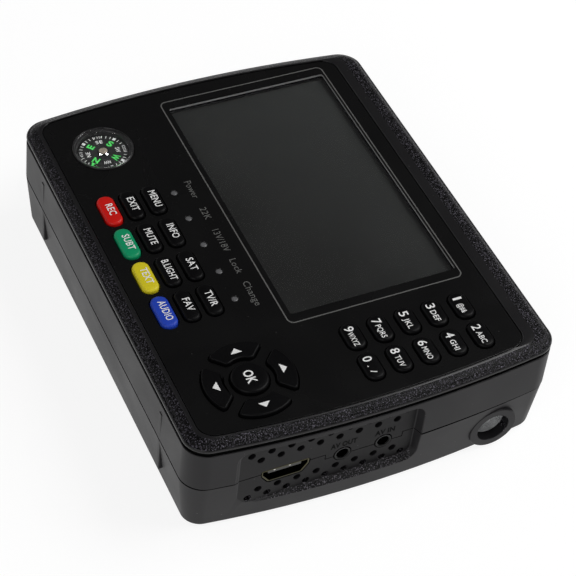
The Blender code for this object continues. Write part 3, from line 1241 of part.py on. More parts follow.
def make_screws(steel):
    """Four cross-head screws, driven up from the base into the front cover's bosses."""
    for number, (x, y) in enumerate(corners(), 1):
        bm = bmesh.new()
        add_turned(bm, [
            (SCREW_HEAD_RADIUS, SCREW_HEAD_BOTTOM_Z),
            (SCREW_HEAD_RADIUS, SCREW_HEAD_TOP_Z),
            (SCREW_SHANK_RADIUS, SCREW_HEAD_TOP_Z),
            (SCREW_SHANK_RADIUS, SCREW_HEAD_TOP_Z + SCREW_LENGTH),
        ], x, y, SMALL_STEPS)
        screw = finish("case_screw_" + str(number), bm, (x, y, SCREW_HEAD_BOTTOM_Z), steel)
        for along, across in ((SCREW_HEAD_RADIUS, SCREW_SLOT_WIDTH), (SCREW_SLOT_WIDTH, SCREW_HEAD_RADIUS)):
            slot = bmesh.new()
            add_prism(slot, moved(rectangle(along, across), x, y), SCREW_HEAD_BOTTOM_Z - OVERRUN,
                      SCREW_HEAD_BOTTOM_Z + SCREW_SLOT_DEPTH)
            combine(screw, "DIFFERENCE", slot)


for old in list(bpy.data.objects):
    bpy.data.objects.remove(old, do_unlink=True)

case_middle = bpy.data.objects.new("case_middle", None)
bpy.context.scene.collection.objects.link(case_middle)
case_middle.location = (CASE_X, 0, 0)

cover_plastic = material("cover_plastic", (0.022, 0.021, 0.022), 0.55)
panel_print = material("panel_print", (0.012, 0.011, 0.011), 0.35)
key_rubber = material("key_rubber", (0.018, 0.018, 0.019), 0.5)
clear_plastic = material("clear_plastic", (0.9, 0.92, 0.92), 0.1, 0.0, 0.9)
frosted_plastic = material("frosted_plastic", (0.55, 0.56, 0.56), 0.5)
screen_glass = material("screen_glass", (0.03, 0.032, 0.031), 0.15)
gasket_rubber = material("gasket_rubber", (0.02, 0.02, 0.02), 0.8)
bright_steel = material("bright_steel", (0.62, 0.62, 0.60), 0.3, 1.0)
socket_black = material("socket_black", (0.02, 0.02, 0.02), 0.5)
board_laminate = material("board_laminate", (0.02, 0.16, 0.06), 0.5)
cell_wrap = material("cell_wrap", (0.05, 0.16, 0.42), 0.4)
compass_black = material("compass_black", (0.02, 0.02, 0.02), 0.3)
card_paint = material("card_paint", (0.02, 0.02, 0.02), 0.6)

make_front_cover(cover_plastic)
make_back_cover(cover_plastic)
make_panel(panel_print)
make_display(clear_plastic, gasket_rubber, bright_steel, screen_glass)
make_keys(key_rubber)
make_compass(compass_black, clear_plastic, card_paint)
make_lamp_pipe(frosted_plastic)
make_boards(board_laminate, key_rubber)
make_right_sockets(bright_steel, socket_black)
make_left_sockets(bright_steel, socket_black)
make_inner_parts(bright_steel, socket_black, cell_wrap)
make_torch(frosted_plastic, frosted_plastic)
make_screws(bright_steel)
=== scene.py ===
"""Look of the handheld satellite signal meter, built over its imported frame.

Metres, +Z up, +X the way the key legends read. Places are measured from the middle of the case,
which sits CASE_X along X from the frame's origin.
"""
import math

import bmesh
import bpy
from mathutils import Matrix, Vector


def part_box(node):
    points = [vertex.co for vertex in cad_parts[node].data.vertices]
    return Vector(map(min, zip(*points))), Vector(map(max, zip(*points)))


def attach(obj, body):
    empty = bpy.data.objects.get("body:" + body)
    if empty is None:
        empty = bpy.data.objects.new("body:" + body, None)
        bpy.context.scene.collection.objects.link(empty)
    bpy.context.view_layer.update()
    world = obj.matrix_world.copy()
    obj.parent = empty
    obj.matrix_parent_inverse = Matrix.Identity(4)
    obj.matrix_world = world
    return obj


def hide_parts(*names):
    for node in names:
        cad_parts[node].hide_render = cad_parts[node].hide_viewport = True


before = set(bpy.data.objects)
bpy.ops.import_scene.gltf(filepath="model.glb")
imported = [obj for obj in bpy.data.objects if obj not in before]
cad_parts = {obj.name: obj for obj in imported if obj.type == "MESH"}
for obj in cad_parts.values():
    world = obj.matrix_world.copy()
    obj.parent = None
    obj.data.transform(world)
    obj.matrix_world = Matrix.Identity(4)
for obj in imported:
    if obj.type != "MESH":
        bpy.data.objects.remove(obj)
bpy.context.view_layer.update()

# Case
CASE_X = 0.0045
GAP = 0.0003
# How far a cutter starts before what it cuts
MARGIN = 0.002
CASE_WIDTH = 0.1532
CASE_DEPTH = 0.1206
CASE_CORNER = 0.0070
CASE_BOW = 0.0042
PARTING_Z = 0.0195
WALL = 0.0022
FLOOR = 0.0022
BASE_ROUND = 0.0015
BASE_DRAFT = 0.0015
WALL_TOP_Z = 0.0344
WALL_TOP_DRAFT = 0.0003
WALL_TOP_ROUND = 0.0003
GROOVE_HEIGHT = 0.0015
GROOVE_DEPTH = 0.0009
RIM_DRAFT = 0.0003
RIM_EDGE = 0.0002
RIM_HEIGHT = 0.0004
RIM_ROUND = 0.0009
CROWN_STEPS = ((0.0005, 0.00042), (0.0006, 0.00033), (0.0008, 0.00025))
# How far in from the case's outline those steps end
CROWN_INSET = 0.0031
RIM_TOP_SPLIT_Z = 0.0362
SEAM_EDGE = 0.0002
BEZEL_INNER_X = 0.0690
BEZEL_INNER_Y = 0.0560
PLATE_BOTTOM_Z = 0.0352
PLATE_TOP_Z = 0.0374
LIP_Z = 0.0387
LIP_WIDTH = 0.0004

# Front panel
PANEL_WIDTH = 0.1440
PANEL_DEPTH = 0.1050
PANEL_Y = -0.0024
PANEL_CORNER = 0.0045
PANEL_BOW = 0.0034
PANEL_BOTTOM_Z = 0.0377
PANEL_TOP_Z = 0.0385
PANEL_LIP = 0.00012

# Display
SCREEN_X = -0.0145
SCREEN_Y = 0.0160
SCREEN_PLACE = (SCREEN_X, SCREEN_Y)
SCREEN_WIDTH = 0.09504
OPENING_WIDTH = 0.09724
OPENING_DEPTH = 0.05606
PANE_WIDTH = 0.10164
PANE_DEPTH = 0.06046
PANE_CORNER = 0.0004
PANE_BOTTOM_Z = 0.0366
GLASS_TOP_Z = 0.0361
GLASS_BOTTOM_Z = 0.0341

# Keys, cursor pad and signal lamps
KEY_FLANGE = 0.0005
KEY_TOP_Z = 0.0397
KEY_FOOT_Z = 0.0352
KEY_TAPER = 0.0001
OK_TOP_Z = 0.0400
PAD_X = 0.0536
PAD_Y = -0.0340
PAD_RADIUS = 0.0142
PAD_INNER_RADIUS = 0.0078
PAD_SLIT = 0.0038
PAD_CORNER = 0.0013
# Degrees of ring that a wedge is cut from
WEDGE_SWEEP = 100
OK_RADIUS = 0.0058
ARROW_BASE = 0.0037
ARROW_HEIGHT = 0.0019
ARROW_REACH = 0.0105
LAMP_PITCH = 0.0121
LAMP_PLACES = [(-0.0258 + place * LAMP_PITCH, -0.0253) for place in range(5)]
LAMP_FOOT_Z = 0.0330
LABEL_RISE = 0.0058
LAMP_RADIUS = 0.0010

# Compass
COMPASS_X = -0.0521
COMPASS_Y = -0.0392
COMPASS_RIM_RADIUS = 0.0099
COMPASS_CUP_RADIUS = 0.0093
COMPASS_BORE_RADIUS = 0.0085
COMPASS_CARD_RADIUS = 0.0078
COMPASS_CARD_TOP_Z = 0.0367
COMPASS_PANE_RADIUS = 0.0094
COMPASS_HEADING = -140.0

# Port recesses
RECESS_FLOOR_X = 0.0734
RECESS_INNER_X = 0.0714
CUTTER_X = RECESS_INNER_X - MARGIN
BACKING_WIDTH = 0.02
RECESS_TOP_Z = 0.0320
RECESS_BOTTOM_Z = 0.0088
RECESS_CORNER = 0.003
RECESS_FLARE = 0.0008
LEDGE_DEPTH = 0.003
# Side, front and back of each recess
RECESSES = ((1, -0.0446, 0.0121), (-1, -0.0420, 0.0260))
VENT_RADIUS = 0.0012
VENT_PITCH = 0.00628
# First half step, number of holes and height of each row
VENT_ROWS = ((0, 9, 0.0295), (1, 8, 0.0265), (1, 8, 0.0131), (0, 9, 0.0101))
VENT_FIRST_Y = -0.0412
TAB_FRONT = -0.0167
TAB_BACK = 0.0084
TAB_DROP = 0.0020
SOCKET_FACE_X = 0.0733

# Sockets
SHELL_BACK_X = 0.0623
SHELL_DEPTH = 0.0095
CONTACT_BACK_X = 0.0640
CONTACT_LIFT = 0.00012
CONTACT_EDGE = (0.00003, 0.0001)
VIDEO_Y = -0.0297
VIDEO_TOP_Z = 0.0205
VIDEO_WIDTH = 0.0152
VIDEO_HEIGHT = 0.0054
VIDEO_FOOT_WIDTH = 0.0107
VIDEO_SHOULDER = 0.0022
JACK_Z = 0.0178
JACK_PLACES = (("av_out_jack", -0.0112), ("av_in_jack", 0.0023))
JACK_RING_RADIUS = 0.0028
JACK_BORE_RADIUS = 0.0018
LNB_Y = -0.0300
LNB_Z = 0.0209
LNB_RADIUS = 0.00475
LNB_REACH = 0.0090
THREAD_PITCH = 0.0008
DC_Y = -0.0120
DC_Z = 0.02035
DC_NOSE_RADIUS = 0.0045
DC_BORE_RADIUS = 0.0031
DATA_Y = 0.0035
DATA_Z = 0.01795
DATA_WIDTH = 0.0132
DATA_HEIGHT = 0.0057
SWITCH_Y = 0.0185
SWITCH_Z = 0.0179
SWITCH_TRAVEL = 0.0030
SWITCH_KNOB_WIDTH = 0.0036
SWITCH_KNOB_HEIGHT = 0.0030
SWITCH_KNOB_REACH = 0.0018

# Torch, screws, ribs and speaker holes
TORCH_Y = 0.0407
TORCH_Z = 0.0089
TORCH_FACE_X = 0.0748
TORCH_BORE_RADIUS = 0.00535
TORCH_COLLAR_RADIUS = 0.0080
TORCH_LENS_X = 0.0719
LENS_BACK_X = 0.0689
LENS_SEAT_X = 0.0686
LAMP_BORE_X = 0.0616
LAMP_BORE_RADIUS = 0.0043
COLLAR_BACK_X = 0.0636
SCREW_X = 0.0645
SCREW_Y = 0.0525
SCREW_PLACES = [(x, y) for x in (-SCREW_X, SCREW_X) for y in (-SCREW_Y, SCREW_Y)]
COUNTERBORE_TOP_Z = 0.0100
COUNTERBORE_RADIUS = 0.0031
BOSS_BORE_RADIUS = 0.0016
FRONT_BOSS_RADIUS = 0.0040
BACK_BOSS_RADIUS = 0.0045
SCREW_BORE_DEPTH = 0.012
RIB_X = 0.0506
RIB_WIDTH = 0.0020
RIB_DEPTH = 0.0032
RIB_BOTTOM_Z = 0.0063
RIB_TOP_Z = 0.0312
SPEAKER_X = 0.0360
SPEAKER_Y = 0.0370
GRILLE_HOLE_RADIUS = 0.0010
GRILLE_PITCH = 0.0040

# Prints
INK_LIFT = 0.00003
CAPITAL_SHARE = 0.70
LETTER_SPACING = 1.06
# Line round the display
LINE_LEFT = -0.0669
LINE_RIGHT = 0.03785
LINE_FRONT = -0.0142
LINE_BACK = 0.04506
LINE_CORNER = 0.0022
LINE_WIDTH = 0.0004

# Turns an outline's x and y into Y and Z, and its height into X, to the right or to the left
TO_RIGHT = Matrix(((0, 0, 1), (1, 0, 0), (0, 1, 0)))
TO_LEFT = Matrix(((0, 0, -1), (-1, 0, 0), (0, 1, 0)))


# Mesh tools

def shown(name, data):
    """New object of the data, in the scene."""
    item = bpy.data.objects.new(name, data)
    bpy.context.scene.collection.objects.link(item)
    return item


def newest_face(bm, known):
    return next(face for face in bm.faces if face not in known)


def facing_up(face):
    face.normal_update()
    if face.normal.z < 0:
        face.normal_flip()
    return face


def turned(bm, verts, matrix):
    bmesh.ops.rotate(bm, verts=verts, cent=(0, 0, 0), matrix=matrix)


def moved(bm, verts, x, y, z=0.0):
    bmesh.ops.translate(bm, vec=(x, y, z), verts=verts)


def about_z(degrees):
    return Matrix.Rotation(math.radians(degrees), 3, "Z")


def round_corners(bm, corners, radius, steps):
    bmesh.ops.bevel(bm, geom=corners, offset=radius, offset_type="OFFSET", segments=steps, profile=0.5,
                    affect="VERTICES", material=-1)


def outline(bm, width, depth, corner, steps=8, centre=(0.0, 0.0), z=0.0, bow=0.0, cuts=0):
    """Flat rounded rectangle. Its left and right sides can swell out by bow at their middles."""
    known = set(bm.faces)
    verts = bmesh.ops.create_grid(bm, x_segments=1, y_segments=1, size=0.5)["verts"]
    bmesh.ops.scale(bm, vec=(width, depth, 1), verts=verts)
    if corner:
        round_corners(bm, verts, corner, steps)
    face = newest_face(bm, known)
    if cuts:
        sides = [edge for edge in face.edges if abs(edge.verts[0].co.x - edge.verts[1].co.x) < 1e-6
                 and edge.calc_length() > 2 * corner]
        bmesh.ops.bisect_edges(bm, edges=sides, cuts=cuts)
    for vert in face.verts:
        vert.co.x *= 1 - 2 * bow / width * (2 * vert.co.y / depth) ** 2
    moved(bm, face.verts, *centre, z)
    face.normal_update()
    return face


def disc(bm, radius, steps=40, centre=(0.0, 0.0), z=0.0):
    known = set(bm.faces)
    verts = bmesh.ops.create_circle(bm, cap_ends=True, cap_tris=False, segments=steps, radius=radius)["verts"]
    moved(bm, verts, *centre, z)
    return facing_up(newest_face(bm, known))


def carry(bm, face, steps):
    """Carry the face on by (inset, rise) steps. It leaves walls behind it."""
    for inset, rise in steps:
        face.normal_update()
        bmesh.ops.inset_individual(bm, faces=[face], thickness=inset, depth=rise, use_even_offset=True)


def solid(bm, face, steps):
    """The same, with a copy of the face left behind as the floor."""
    copy = bmesh.ops.duplicate(bm, geom=[face])["geom"]
    bmesh.ops.reverse_faces(bm, faces=[item for item in copy if isinstance(item, bmesh.types.BMFace)])
    carry(bm, face, steps)


def block(steps, *shape, into=None, **more):
    """Solid on a rounded rectangle, in a new mesh or into one."""
    bm = bmesh.new() if into is None else into
    solid(bm, outline(bm, *shape, **more), steps)
    return bm


def rod(steps, *shape, into=None):
    """Solid on a disc, in a new mesh or into one."""
    bm = bmesh.new() if into is None else into
    solid(bm, disc(bm, *shape), steps)
    return bm


def round_over(radius, count=4):
    """Steps of a quarter round that starts upright and ends level."""
    turns = [math.pi / 2 * step / count for step in range(count + 1)]
    return [(radius * (math.cos(a) - math.cos(b)), radius * (math.sin(b) - math.sin(a)))
            for a, b in zip(turns, turns[1:])]


def round_out(radius, count=4):
    """Steps of a quarter round that starts level, widens, and ends upright."""
    return [(-rise, inset) for inset, rise in round_over(radius, count)]


def flare_out(radius, count=4):
    """Steps of a rounded lip that starts upright, widens, and ends level."""
    return [(-inset, rise) for inset, rise in round_over(radius, count)]


def drill(bm, face, depth, lip=0.0):
    """Cutter that goes on past a surface depth away, with its hole widened by a small lip there."""
    past = 0.00003
    soft = [(-lip, lip), (-lip, lip)] if lip else []
    solid(bm, face, [(0, depth - lip + past), *soft, (0, MARGIN)])


def spun(profile, steps=40, centre=(0.0, 0.0)):
    """Turned shape about a vertical axis, from (radius, z) pairs."""
    bm = bmesh.new()
    verts = [bm.verts.new((radius, 0, z)) for radius, z in profile]
    edges = [bm.edges.new(pair) for pair in zip(verts, verts[1:])]
    bmesh.ops.spin(bm, geom=verts + edges, cent=(0, 0, 0), axis=(0, 0, 1), angle=2 * math.pi, steps=steps,
                   use_merge=True, use_duplicate=False)
    moved(bm, bm.verts, *centre)
    return bm


def wedge(bm, inner, outer, slit, degrees, z):
    """A quarter of a ring, its straight sides half a slit from the diagonals."""
    known = set(bm.faces)
    ends = [bm.verts.new((radius, 0, z)) for radius in (inner, outer)]
    edge = bm.edges.new(ends)
    turned(bm, ends, about_z(-WEDGE_SWEEP / 2))
    bmesh.ops.spin(bm, geom=[*ends, edge], cent=(0, 0, 0), axis=(0, 0, 1), angle=math.radians(WEDGE_SWEEP),
                   steps=40, use_merge=False, use_duplicate=False)
    for side in (1, -1):
        diagonal = math.radians(45 * side)
        out = Vector((-math.sin(diagonal), math.cos(diagonal), 0)) * side
        faces = [face for face in bm.faces if face not in known]
        edges = list({edge for face in faces for edge in face.edges})
        verts = list({vert for face in faces for vert in face.verts})
        bmesh.ops.bisect_plane(bm, geom=verts + edges + faces, plane_co=-out * slit / 2, plane_no=out,
                               clear_outer=True)
    faces = [face for face in bm.faces if face not in known]
    bmesh.ops.dissolve_faces(bm, faces=faces, use_verts=False)
    face = newest_face(bm, known)
    corners = [loop.vert for loop in face.loops if loop.calc_angle() < math.radians(120)]
    close = [vert for vert in face.verts if vert not in corners
             and min((vert.co - corner.co).length for corner in corners) < 1.4 * PAD_CORNER
             and min(abs(vert.co.xy.length - inner), abs(vert.co.xy.length - outer)) < 1e-6]
    bmesh.ops.dissolve_verts(bm, verts=close)
    round_corners(bm, corners, PAD_CORNER + outer - PAD_RADIUS, 5)
    face = newest_face(bm, known)
    turned(bm, face.verts, about_z(degrees))
    moved(bm, face.verts, PAD_X, PAD_Y)
    return facing_up(face)


def tidy(bm):
    bmesh.ops.remove_doubles(bm, verts=bm.verts, dist=2e-7)
    bmesh.ops.recalc_face_normals(bm, faces=bm.faces)


def combined(bm, *tools, operation="DIFFERENCE"):
    """The first shape, with the others cut out of it one by one or joined to it."""
    for tool in tools:
        items = []
        for shape in (bm, tool):
            tidy(shape)
            mesh = bpy.data.meshes.new("working")
            shape.to_mesh(mesh)
            shape.free()
            items.append(shown("working", mesh))
        modifier = items[0].modifiers.new("Combine", "BOOLEAN")
        modifier.operation = operation
        modifier.solver = "EXACT"
        modifier.use_self = True
        modifier.object = items[1]
        mesh = bpy.data.meshes.new_from_object(items[0].evaluated_get(bpy.context.evaluated_depsgraph_get()))
        bm = bmesh.new()
        bm.from_mesh(mesh)
        bpy.data.meshes.remove(mesh)
        for item in items:
            mesh = item.data
            bpy.data.objects.remove(item)
            bpy.data.meshes.remove(mesh)
    return bm


def piece(name, bm, finishes, body, replaces=(), smooth=32, pick=None, turn=None, at=None):
    """Turn and place the mesh and make it a piece that rides on a body. pick(face) gives its finish."""
    if turn:
        turned(bm, bm.verts, turn)
    if at:
        moved(bm, bm.verts, *at)
    tidy(bm)
    moved(bm, bm.verts, CASE_X, 0)
    bm.normal_update()
    if pick:
        for face in bm.faces:
            face.material_index = finishes.index(pick(face))
    mesh = bpy.data.meshes.new(name)
    bm.to_mesh(mesh)
    bm.free()
    made = shown(name, mesh)
    for finish in finishes:
        mesh.materials.append(finish)
    mesh.shade_smooth()
    mesh.set_sharp_from_angle(angle=math.radians(smooth))
    weighted = made.modifiers.new("Level shading", "WEIGHTED_NORMAL")
    weighted.keep_sharp = True
    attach(made, body)
    if replaces:
        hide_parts(*replaces)


def lettering(name, marks, ink, body, turn=None):
    """Flat print. Each mark is (words, x, y, z, height, width, weight), its place the middle of the words."""
    bm = bmesh.new()
    for words, x, y, z, height, width, weight in marks:
        curve = bpy.data.curves.new(name, "FONT")
        curve.body = words
        curve.size = height / CAPITAL_SHARE
        curve.space_character = LETTER_SPACING
        curve.offset = weight
        curve.resolution_u = 3
        item = shown(name, curve)
        mesh = bpy.data.meshes.new_from_object(item.evaluated_get(bpy.context.evaluated_depsgraph_get()))
        bpy.data.objects.remove(item)
        bpy.data.curves.remove(curve)
        before = set(bm.verts)
        bm.from_mesh(mesh)
        bpy.data.meshes.remove(mesh)
        fresh = [vert for vert in bm.verts if vert not in before]
        left = min(vert.co.x for vert in fresh)
        length = max(vert.co.x for vert in fresh) - left
        moved(bm, fresh, -left - length / 2, -height / 2)
        bmesh.ops.scale(bm, vec=(width / length, 1, 1), verts=fresh)
        if turn:
            turned(bm, fresh, turn)
        moved(bm, fresh, x, y, z)
    piece(name, bm, [ink], body)


# Shared effects

def new_group(name, inputs, outputs):
    group = bpy.data.node_groups.new(name, "ShaderNodeTree")
    for label, value in inputs:
        made = group.interface.new_socket(name=label, in_out="INPUT", socket_type="NodeSocketFloat")
        made.default_value = value
    for label in outputs:
        group.interface.new_socket(name=label, in_out="OUTPUT", socket_type="NodeSocketFloat")
    return group, group.nodes.new("NodeGroupInput"), group.nodes.new("NodeGroupOutput")


def feed(tree, socket, source):
    """Link a source to a socket, or set a plain value on it."""
    if isinstance(source, bpy.types.NodeSocket):
        tree.links.new(source, socket)
    else:
        socket.default_value = source


def node(tree, kind, links=(), **values):
    """Add a node, set its own values, and feed (socket, source) pairs to it."""
    made = tree.nodes.new("ShaderNode" + kind)
    for label, value in values.items():
        setattr(made, label, value)
    for label, source in links:
        feed(tree, made.inputs[label], source)
    return made


def maths(tree, operation, first, second):
    return node(tree, "Math", [(0, first), (1, second)], operation=operation).outputs[0]


def along(tree, place, direction):
    made = node(tree, "VectorMath", [(0, place), (1, direction)], operation="DOT_PRODUCT")
    return made.outputs["Value"]


def ramp(tree, value, low, high, first=0.0, last=1.0):
    """The value carried from low and high to first and last."""
    return node(tree, "MapRange", [("Value", value), ("From Min", low), ("From Max", high), ("To Min", first),
                                   ("To Max", last)]).outputs[0]


def object_place(tree):
    return node(tree, "TexCoord").outputs["Object"]


def noise(tree, place, scale, detail, *more):
    links = [("Vector", place), ("Scale", scale), ("Detail", detail), *more]
    return node(tree, "TexNoise", links).outputs["Fac"]


def moulded_grain():
    """Spark texture of a moulding tool: its height, and a mask of its bright grains."""
    group, given, result = new_group("Moulded grain", [("Grains per metre", 1500.0)], ["Height", "Grains"])
    place = object_place(group)
    size = given.outputs[0]
    coarse = noise(group, place, size, 2.0, ("Roughness", 0.6))
    cells = node(group, "TexVoronoi", [("Vector", place), ("Scale", maths(group, "MULTIPLY", size, 1.4))])
    feed(group, result.inputs["Height"], maths(group, "MULTIPLY", coarse, cells.outputs["Distance"]))
    feed(group, result.inputs["Grains"], ramp(group, coarse, 0.54, 0.66))
    return group


def edge_wear():
    """Mask of the edges that hands rub."""
    group, given, result = new_group("Edge wear", [("Reach", 0.0004), ("Breakup per metre", 400.0)], ["Mask"])
    rounded = node(group, "Bevel", [("Radius", given.outputs[0])], samples=4)
    surface = node(group, "NewGeometry")
    edge = ramp(group, along(group, rounded.outputs[0], surface.outputs["Normal"]), 0.985, 0.85)
    worn = ramp(group, noise(group, object_place(group), given.outputs[1], 3.0), 0.35, 0.65)
    feed(group, result.inputs["Mask"], maths(group, "MULTIPLY", edge, worn))
    return group


def handling():
    """Slow change of sheen where fingers have been, and a thin scatter of dust."""
    group, given, result = new_group("Handling", [("Least", 0.4), ("Most", 0.6), ("Patches per metre", 45.0),
                                                  ("Dust", 0.5)], ["Sheen", "Dust"])
    place = object_place(group)
    patches = noise(group, place, given.outputs[2], 4.0, ("Distortion", 0.6))
    feed(group, result.inputs["Sheen"], ramp(group, patches, 0.3, 0.7, given.outputs[0], given.outputs[1]))
    specks = node(group, "TexVoronoi", [("Vector", place), ("Scale", 240.0), ("Randomness", 1.0)])
    scatter = ramp(group, specks.outputs["Distance"], 0.05, 0.02)
    feed(group, result.inputs["Dust"], maths(group, "MULTIPLY", scatter, given.outputs[3]))
    return group


GRAIN = moulded_grain()
WEAR = edge_wear()
HANDLING = handling()


def placed(tree, group, **values):
    made = tree.nodes.new("ShaderNodeGroup")
    made.node_tree = group
    for label, value in values.items():
        made.inputs[label.replace("_", " ")].default_value = value
    return made


def blend_colours(tree, share, first, second):
    """Mix node: its colour comes out, and its share and two colours go in at 0, 6 and 7."""
    return node(tree, "Mix", [(0, share), (6, first), (7, second)], data_type="RGBA").outputs[2]


def blank_material(name, **values):
    made = bpy.data.materials.new(name)
    made.use_nodes = True
    tree = made.node_tree
    shader = tree.nodes["Principled BSDF"]
    for label, value in values.items():
        shader.inputs[label.replace("_", " ")].default_value = value
    return made, tree, shader


def finished(tree, shader, colour, sheen, height, depth):
    """Feed the shader its colour, its sheen and its relief."""
    relief = node(tree, "Bump", [("Height", height), ("Distance", depth)])
    for label, source in (("Base Color", colour), ("Roughness", sheen), ("Normal", relief.outputs[0])):
        feed(tree, shader.inputs[label], source)


def shade(colour, factor):
    return tuple(min(1.0, channel * factor) for channel in colour) + (1.0,)


def moulded(name, colour, sheen=(0.45, 0.6), grains=1500.0, depth=0.00002, sparkle=0.0, wear=0.35, dust=0.25,
            glint=0.0, gloss=0.5):
    """Moulded plastic, rubber or print, with grain, sheen that varies, worn edges and dust."""
    made, tree, shader = blank_material(name, Specular_IOR_Level=gloss)
    grain = placed(tree, GRAIN, Grains_per_metre=grains)
    worn = placed(tree, WEAR)
    marks = placed(tree, HANDLING, Least=sheen[0], Most=sheen[1], Dust=dust)
    base = blend_colours(tree, grain.outputs["Grains"], shade(colour, 1.0), shade(colour, 1.0 + sparkle))
    rubbed = maths(tree, "MULTIPLY", worn.outputs["Mask"], wear)
    base = blend_colours(tree, rubbed, base, shade([channel + 0.03 for channel in colour], 1.6))
    base = blend_colours(tree, marks.outputs["Dust"], base, (0.35, 0.34, 0.33, 1.0))
    if glint:
        feed(tree, shader.inputs["Metallic"], maths(tree, "MULTIPLY", grain.outputs["Grains"], glint))
    finished(tree, shader, base, marks.outputs["Sheen"], grain.outputs["Height"], depth)
    return made


def painted(name, colour, grains, depth, sparkle):
    """Ink or paint, too thin to wear or gather dust."""
    return moulded(name, colour, (0.5, 0.6), grains, depth, sparkle, 0.0, 0.0)


def plated(name, colour, sheen=(0.22, 0.4), drawn=(900.0, 900.0, 60.0)):
    """Plated or drawn metal, its lines long in one direction."""
    made, tree, shader = blank_material(name, Metallic=1.0)
    stretched = node(tree, "Mapping", [("Vector", object_place(tree)), ("Scale", drawn)])
    lines = noise(tree, stretched.outputs[0], 1.0, 4.0)
    worn = placed(tree, WEAR)
    marks = placed(tree, HANDLING, Least=sheen[0], Most=sheen[1], Dust=0.1)
    base = blend_colours(tree, lines, shade(colour, 0.8), shade(colour, 1.1))
    base = blend_colours(tree, worn.outputs["Mask"], base, shade(colour, 1.3))
    finished(tree, shader, base, marks.outputs["Sheen"], lines, 0.000004)
    return made


def clear(name, sheen=(0.02, 0.08), scratch_depth=0.0000005):
    """Clear plastic that lets plain shadows through."""
    made, tree, shader = blank_material(name, Transmission_Weight=1.0, IOR=1.49)
    marks = placed(tree, HANDLING, Least=sheen[0], Most=sheen[1], Patches_per_metre=70.0, Dust=0.0)
    grain = placed(tree, GRAIN, Grains_per_metre=700.0)
    finished(tree, shader, (0.96, 0.97, 0.97, 1.0), marks.outputs["Sheen"], grain.outputs["Height"],
             scratch_depth)
    through = node(tree, "BsdfTransparent")
    ray = node(tree, "LightPath")
    mixed = node(tree, "MixShader", [(0, ray.outputs["Is Shadow Ray"]), (1, shader.outputs[0]),
                                     (2, through.outputs[0])])
    tree.links.new(mixed.outputs[0], tree.nodes["Material Output"].inputs["Surface"])
    return made


# Grains per metre and depth of the moulds' two textures
FINE = (2600.0, 0.000006)
SPARKED = (2100.0, 0.0002)
# The tops' copy of the case plastic has real spark grain and glinting grains, and a much darker base than the
# walls' copy: painted shade.
SPARKED_PAINTED_SHADE_PLASTIC = moulded("sparked case plastic with painted shade", (0.0014, 0.0013, 0.0016), (0.24, 0.32), *SPARKED, 70.0,
                          glint=0.42, gloss=0.16)
# The ledge's sparked copy is lighter than the tops' one: painted light.
LEDGE_PAINTED_LIGHT_PLASTIC = moulded("sparked ledge plastic with painted light", (0.0030, 0.0028, 0.0032), (0.24, 0.32), *SPARKED, 50.0,
                        glint=0.5, gloss=0.22)
# Darker copy of the case plastic on the rim's side: painted shade.
RIM_SIDE_PAINTED_SHADE = moulded("rim side plastic with painted shade", (0.0028, 0.0026, 0.0030), (0.22, 0.30), *FINE, 0.2, gloss=0.32)
SMOOTH_PLASTIC = moulded("smooth case plastic", (0.0074, 0.0067, 0.0079), (0.42, 0.5), *FINE, 0.15,
                         gloss=0.24)
# Near-black copy of the case plastic for the seams and the groove under the rim: painted shadow.
PAINTED_SEAM_SHADOW = moulded("painted seam shadow", (0.0006, 0.0006, 0.0006), (0.8, 0.9), *FINE, 0.1, 0.0, 0.0, gloss=0.05)
# Darker copy of the case plastic on the recess floors: painted shade.
RECESS_FLOOR_PAINTED_SHADE = moulded("recess floor plastic with painted shade", (0.0042, 0.0038, 0.0045), (0.38, 0.46), *FINE, 0.3,
                         gloss=0.14)
# Lighter, glossier copy of the case plastic on the lip round the panel: painted highlight.
LIP_PAINTED_HIGHLIGHT = moulded("lip plastic with painted highlight", (0.0110, 0.0105, 0.0115), (0.24, 0.32), *FINE, 0.2, gloss=0.4)
SOCKET_PLASTIC = moulded("socket plastic", (0.004, 0.004, 0.004), (0.4, 0.5), *FINE, 0.1, gloss=0.3)
CUP_PLASTIC = moulded("compass cup plastic", (0.014, 0.013, 0.014), (0.25, 0.35), *FINE, 0.1)
TONGUE_PLASTIC = moulded("olive socket tongue", (0.010, 0.009, 0.004), (0.25, 0.35), *FINE, 0.1)
PANEL_PRINT = moulded("black panel print", (0.0012, 0.0011, 0.0013), (0.24, 0.30), 3200.0, 0.000002, 0.1,
                      0.2, 0.10)
# Light grey on the panel's cut edge round the display: painted highlight.
PANEL_EDGE_HIGHLIGHT = moulded("painted highlight on the panel's cut edge", (0.20, 0.20, 0.20), (0.3, 0.4), 3200.0, 0.000002, 0.1, 0.0, 0.0)
WHITE_INK = painted("white ink", (0.97, 0.97, 0.96), 4000.0, 0.000002, -0.05)
GREY_INK = painted("grey ink", (0.13, 0.13, 0.125), 4000.0, 0.000002, -0.1)
DARK_INK = moulded("dark ink", (0.0006, 0.0006, 0.0006), (0.6, 0.7), 4000.0, 0.000002, 0.1, 0.0, 0.0,
                   gloss=0.05)
BLACK_RUBBER = moulded("black key rubber", (0.0022, 0.0021, 0.0025), (0.34, 0.44), 3000.0, 0.00003, 0.5,
                       0.2, 0.15, gloss=0.12)
RED_RUBBER, GREEN_RUBBER, YELLOW_RUBBER, BLUE_RUBBER = (
    moulded(name + " key rubber", colour, (0.36, 0.46), 3000.0, 0.000004, 0.05, 0.05, 0.05, gloss=0.3)
    for name, colour in (("red", (0.68, 0.008, 0.005)), ("green", (0.004, 0.33, 0.14)),
                         ("yellow", (0.80, 0.68, 0.02)), ("blue", (0.018, 0.062, 0.52))))
GASKET_RUBBER = moulded("gasket rubber", (0.012, 0.012, 0.012), (0.7, 0.85), 1800.0, 0.00003, 0.3)
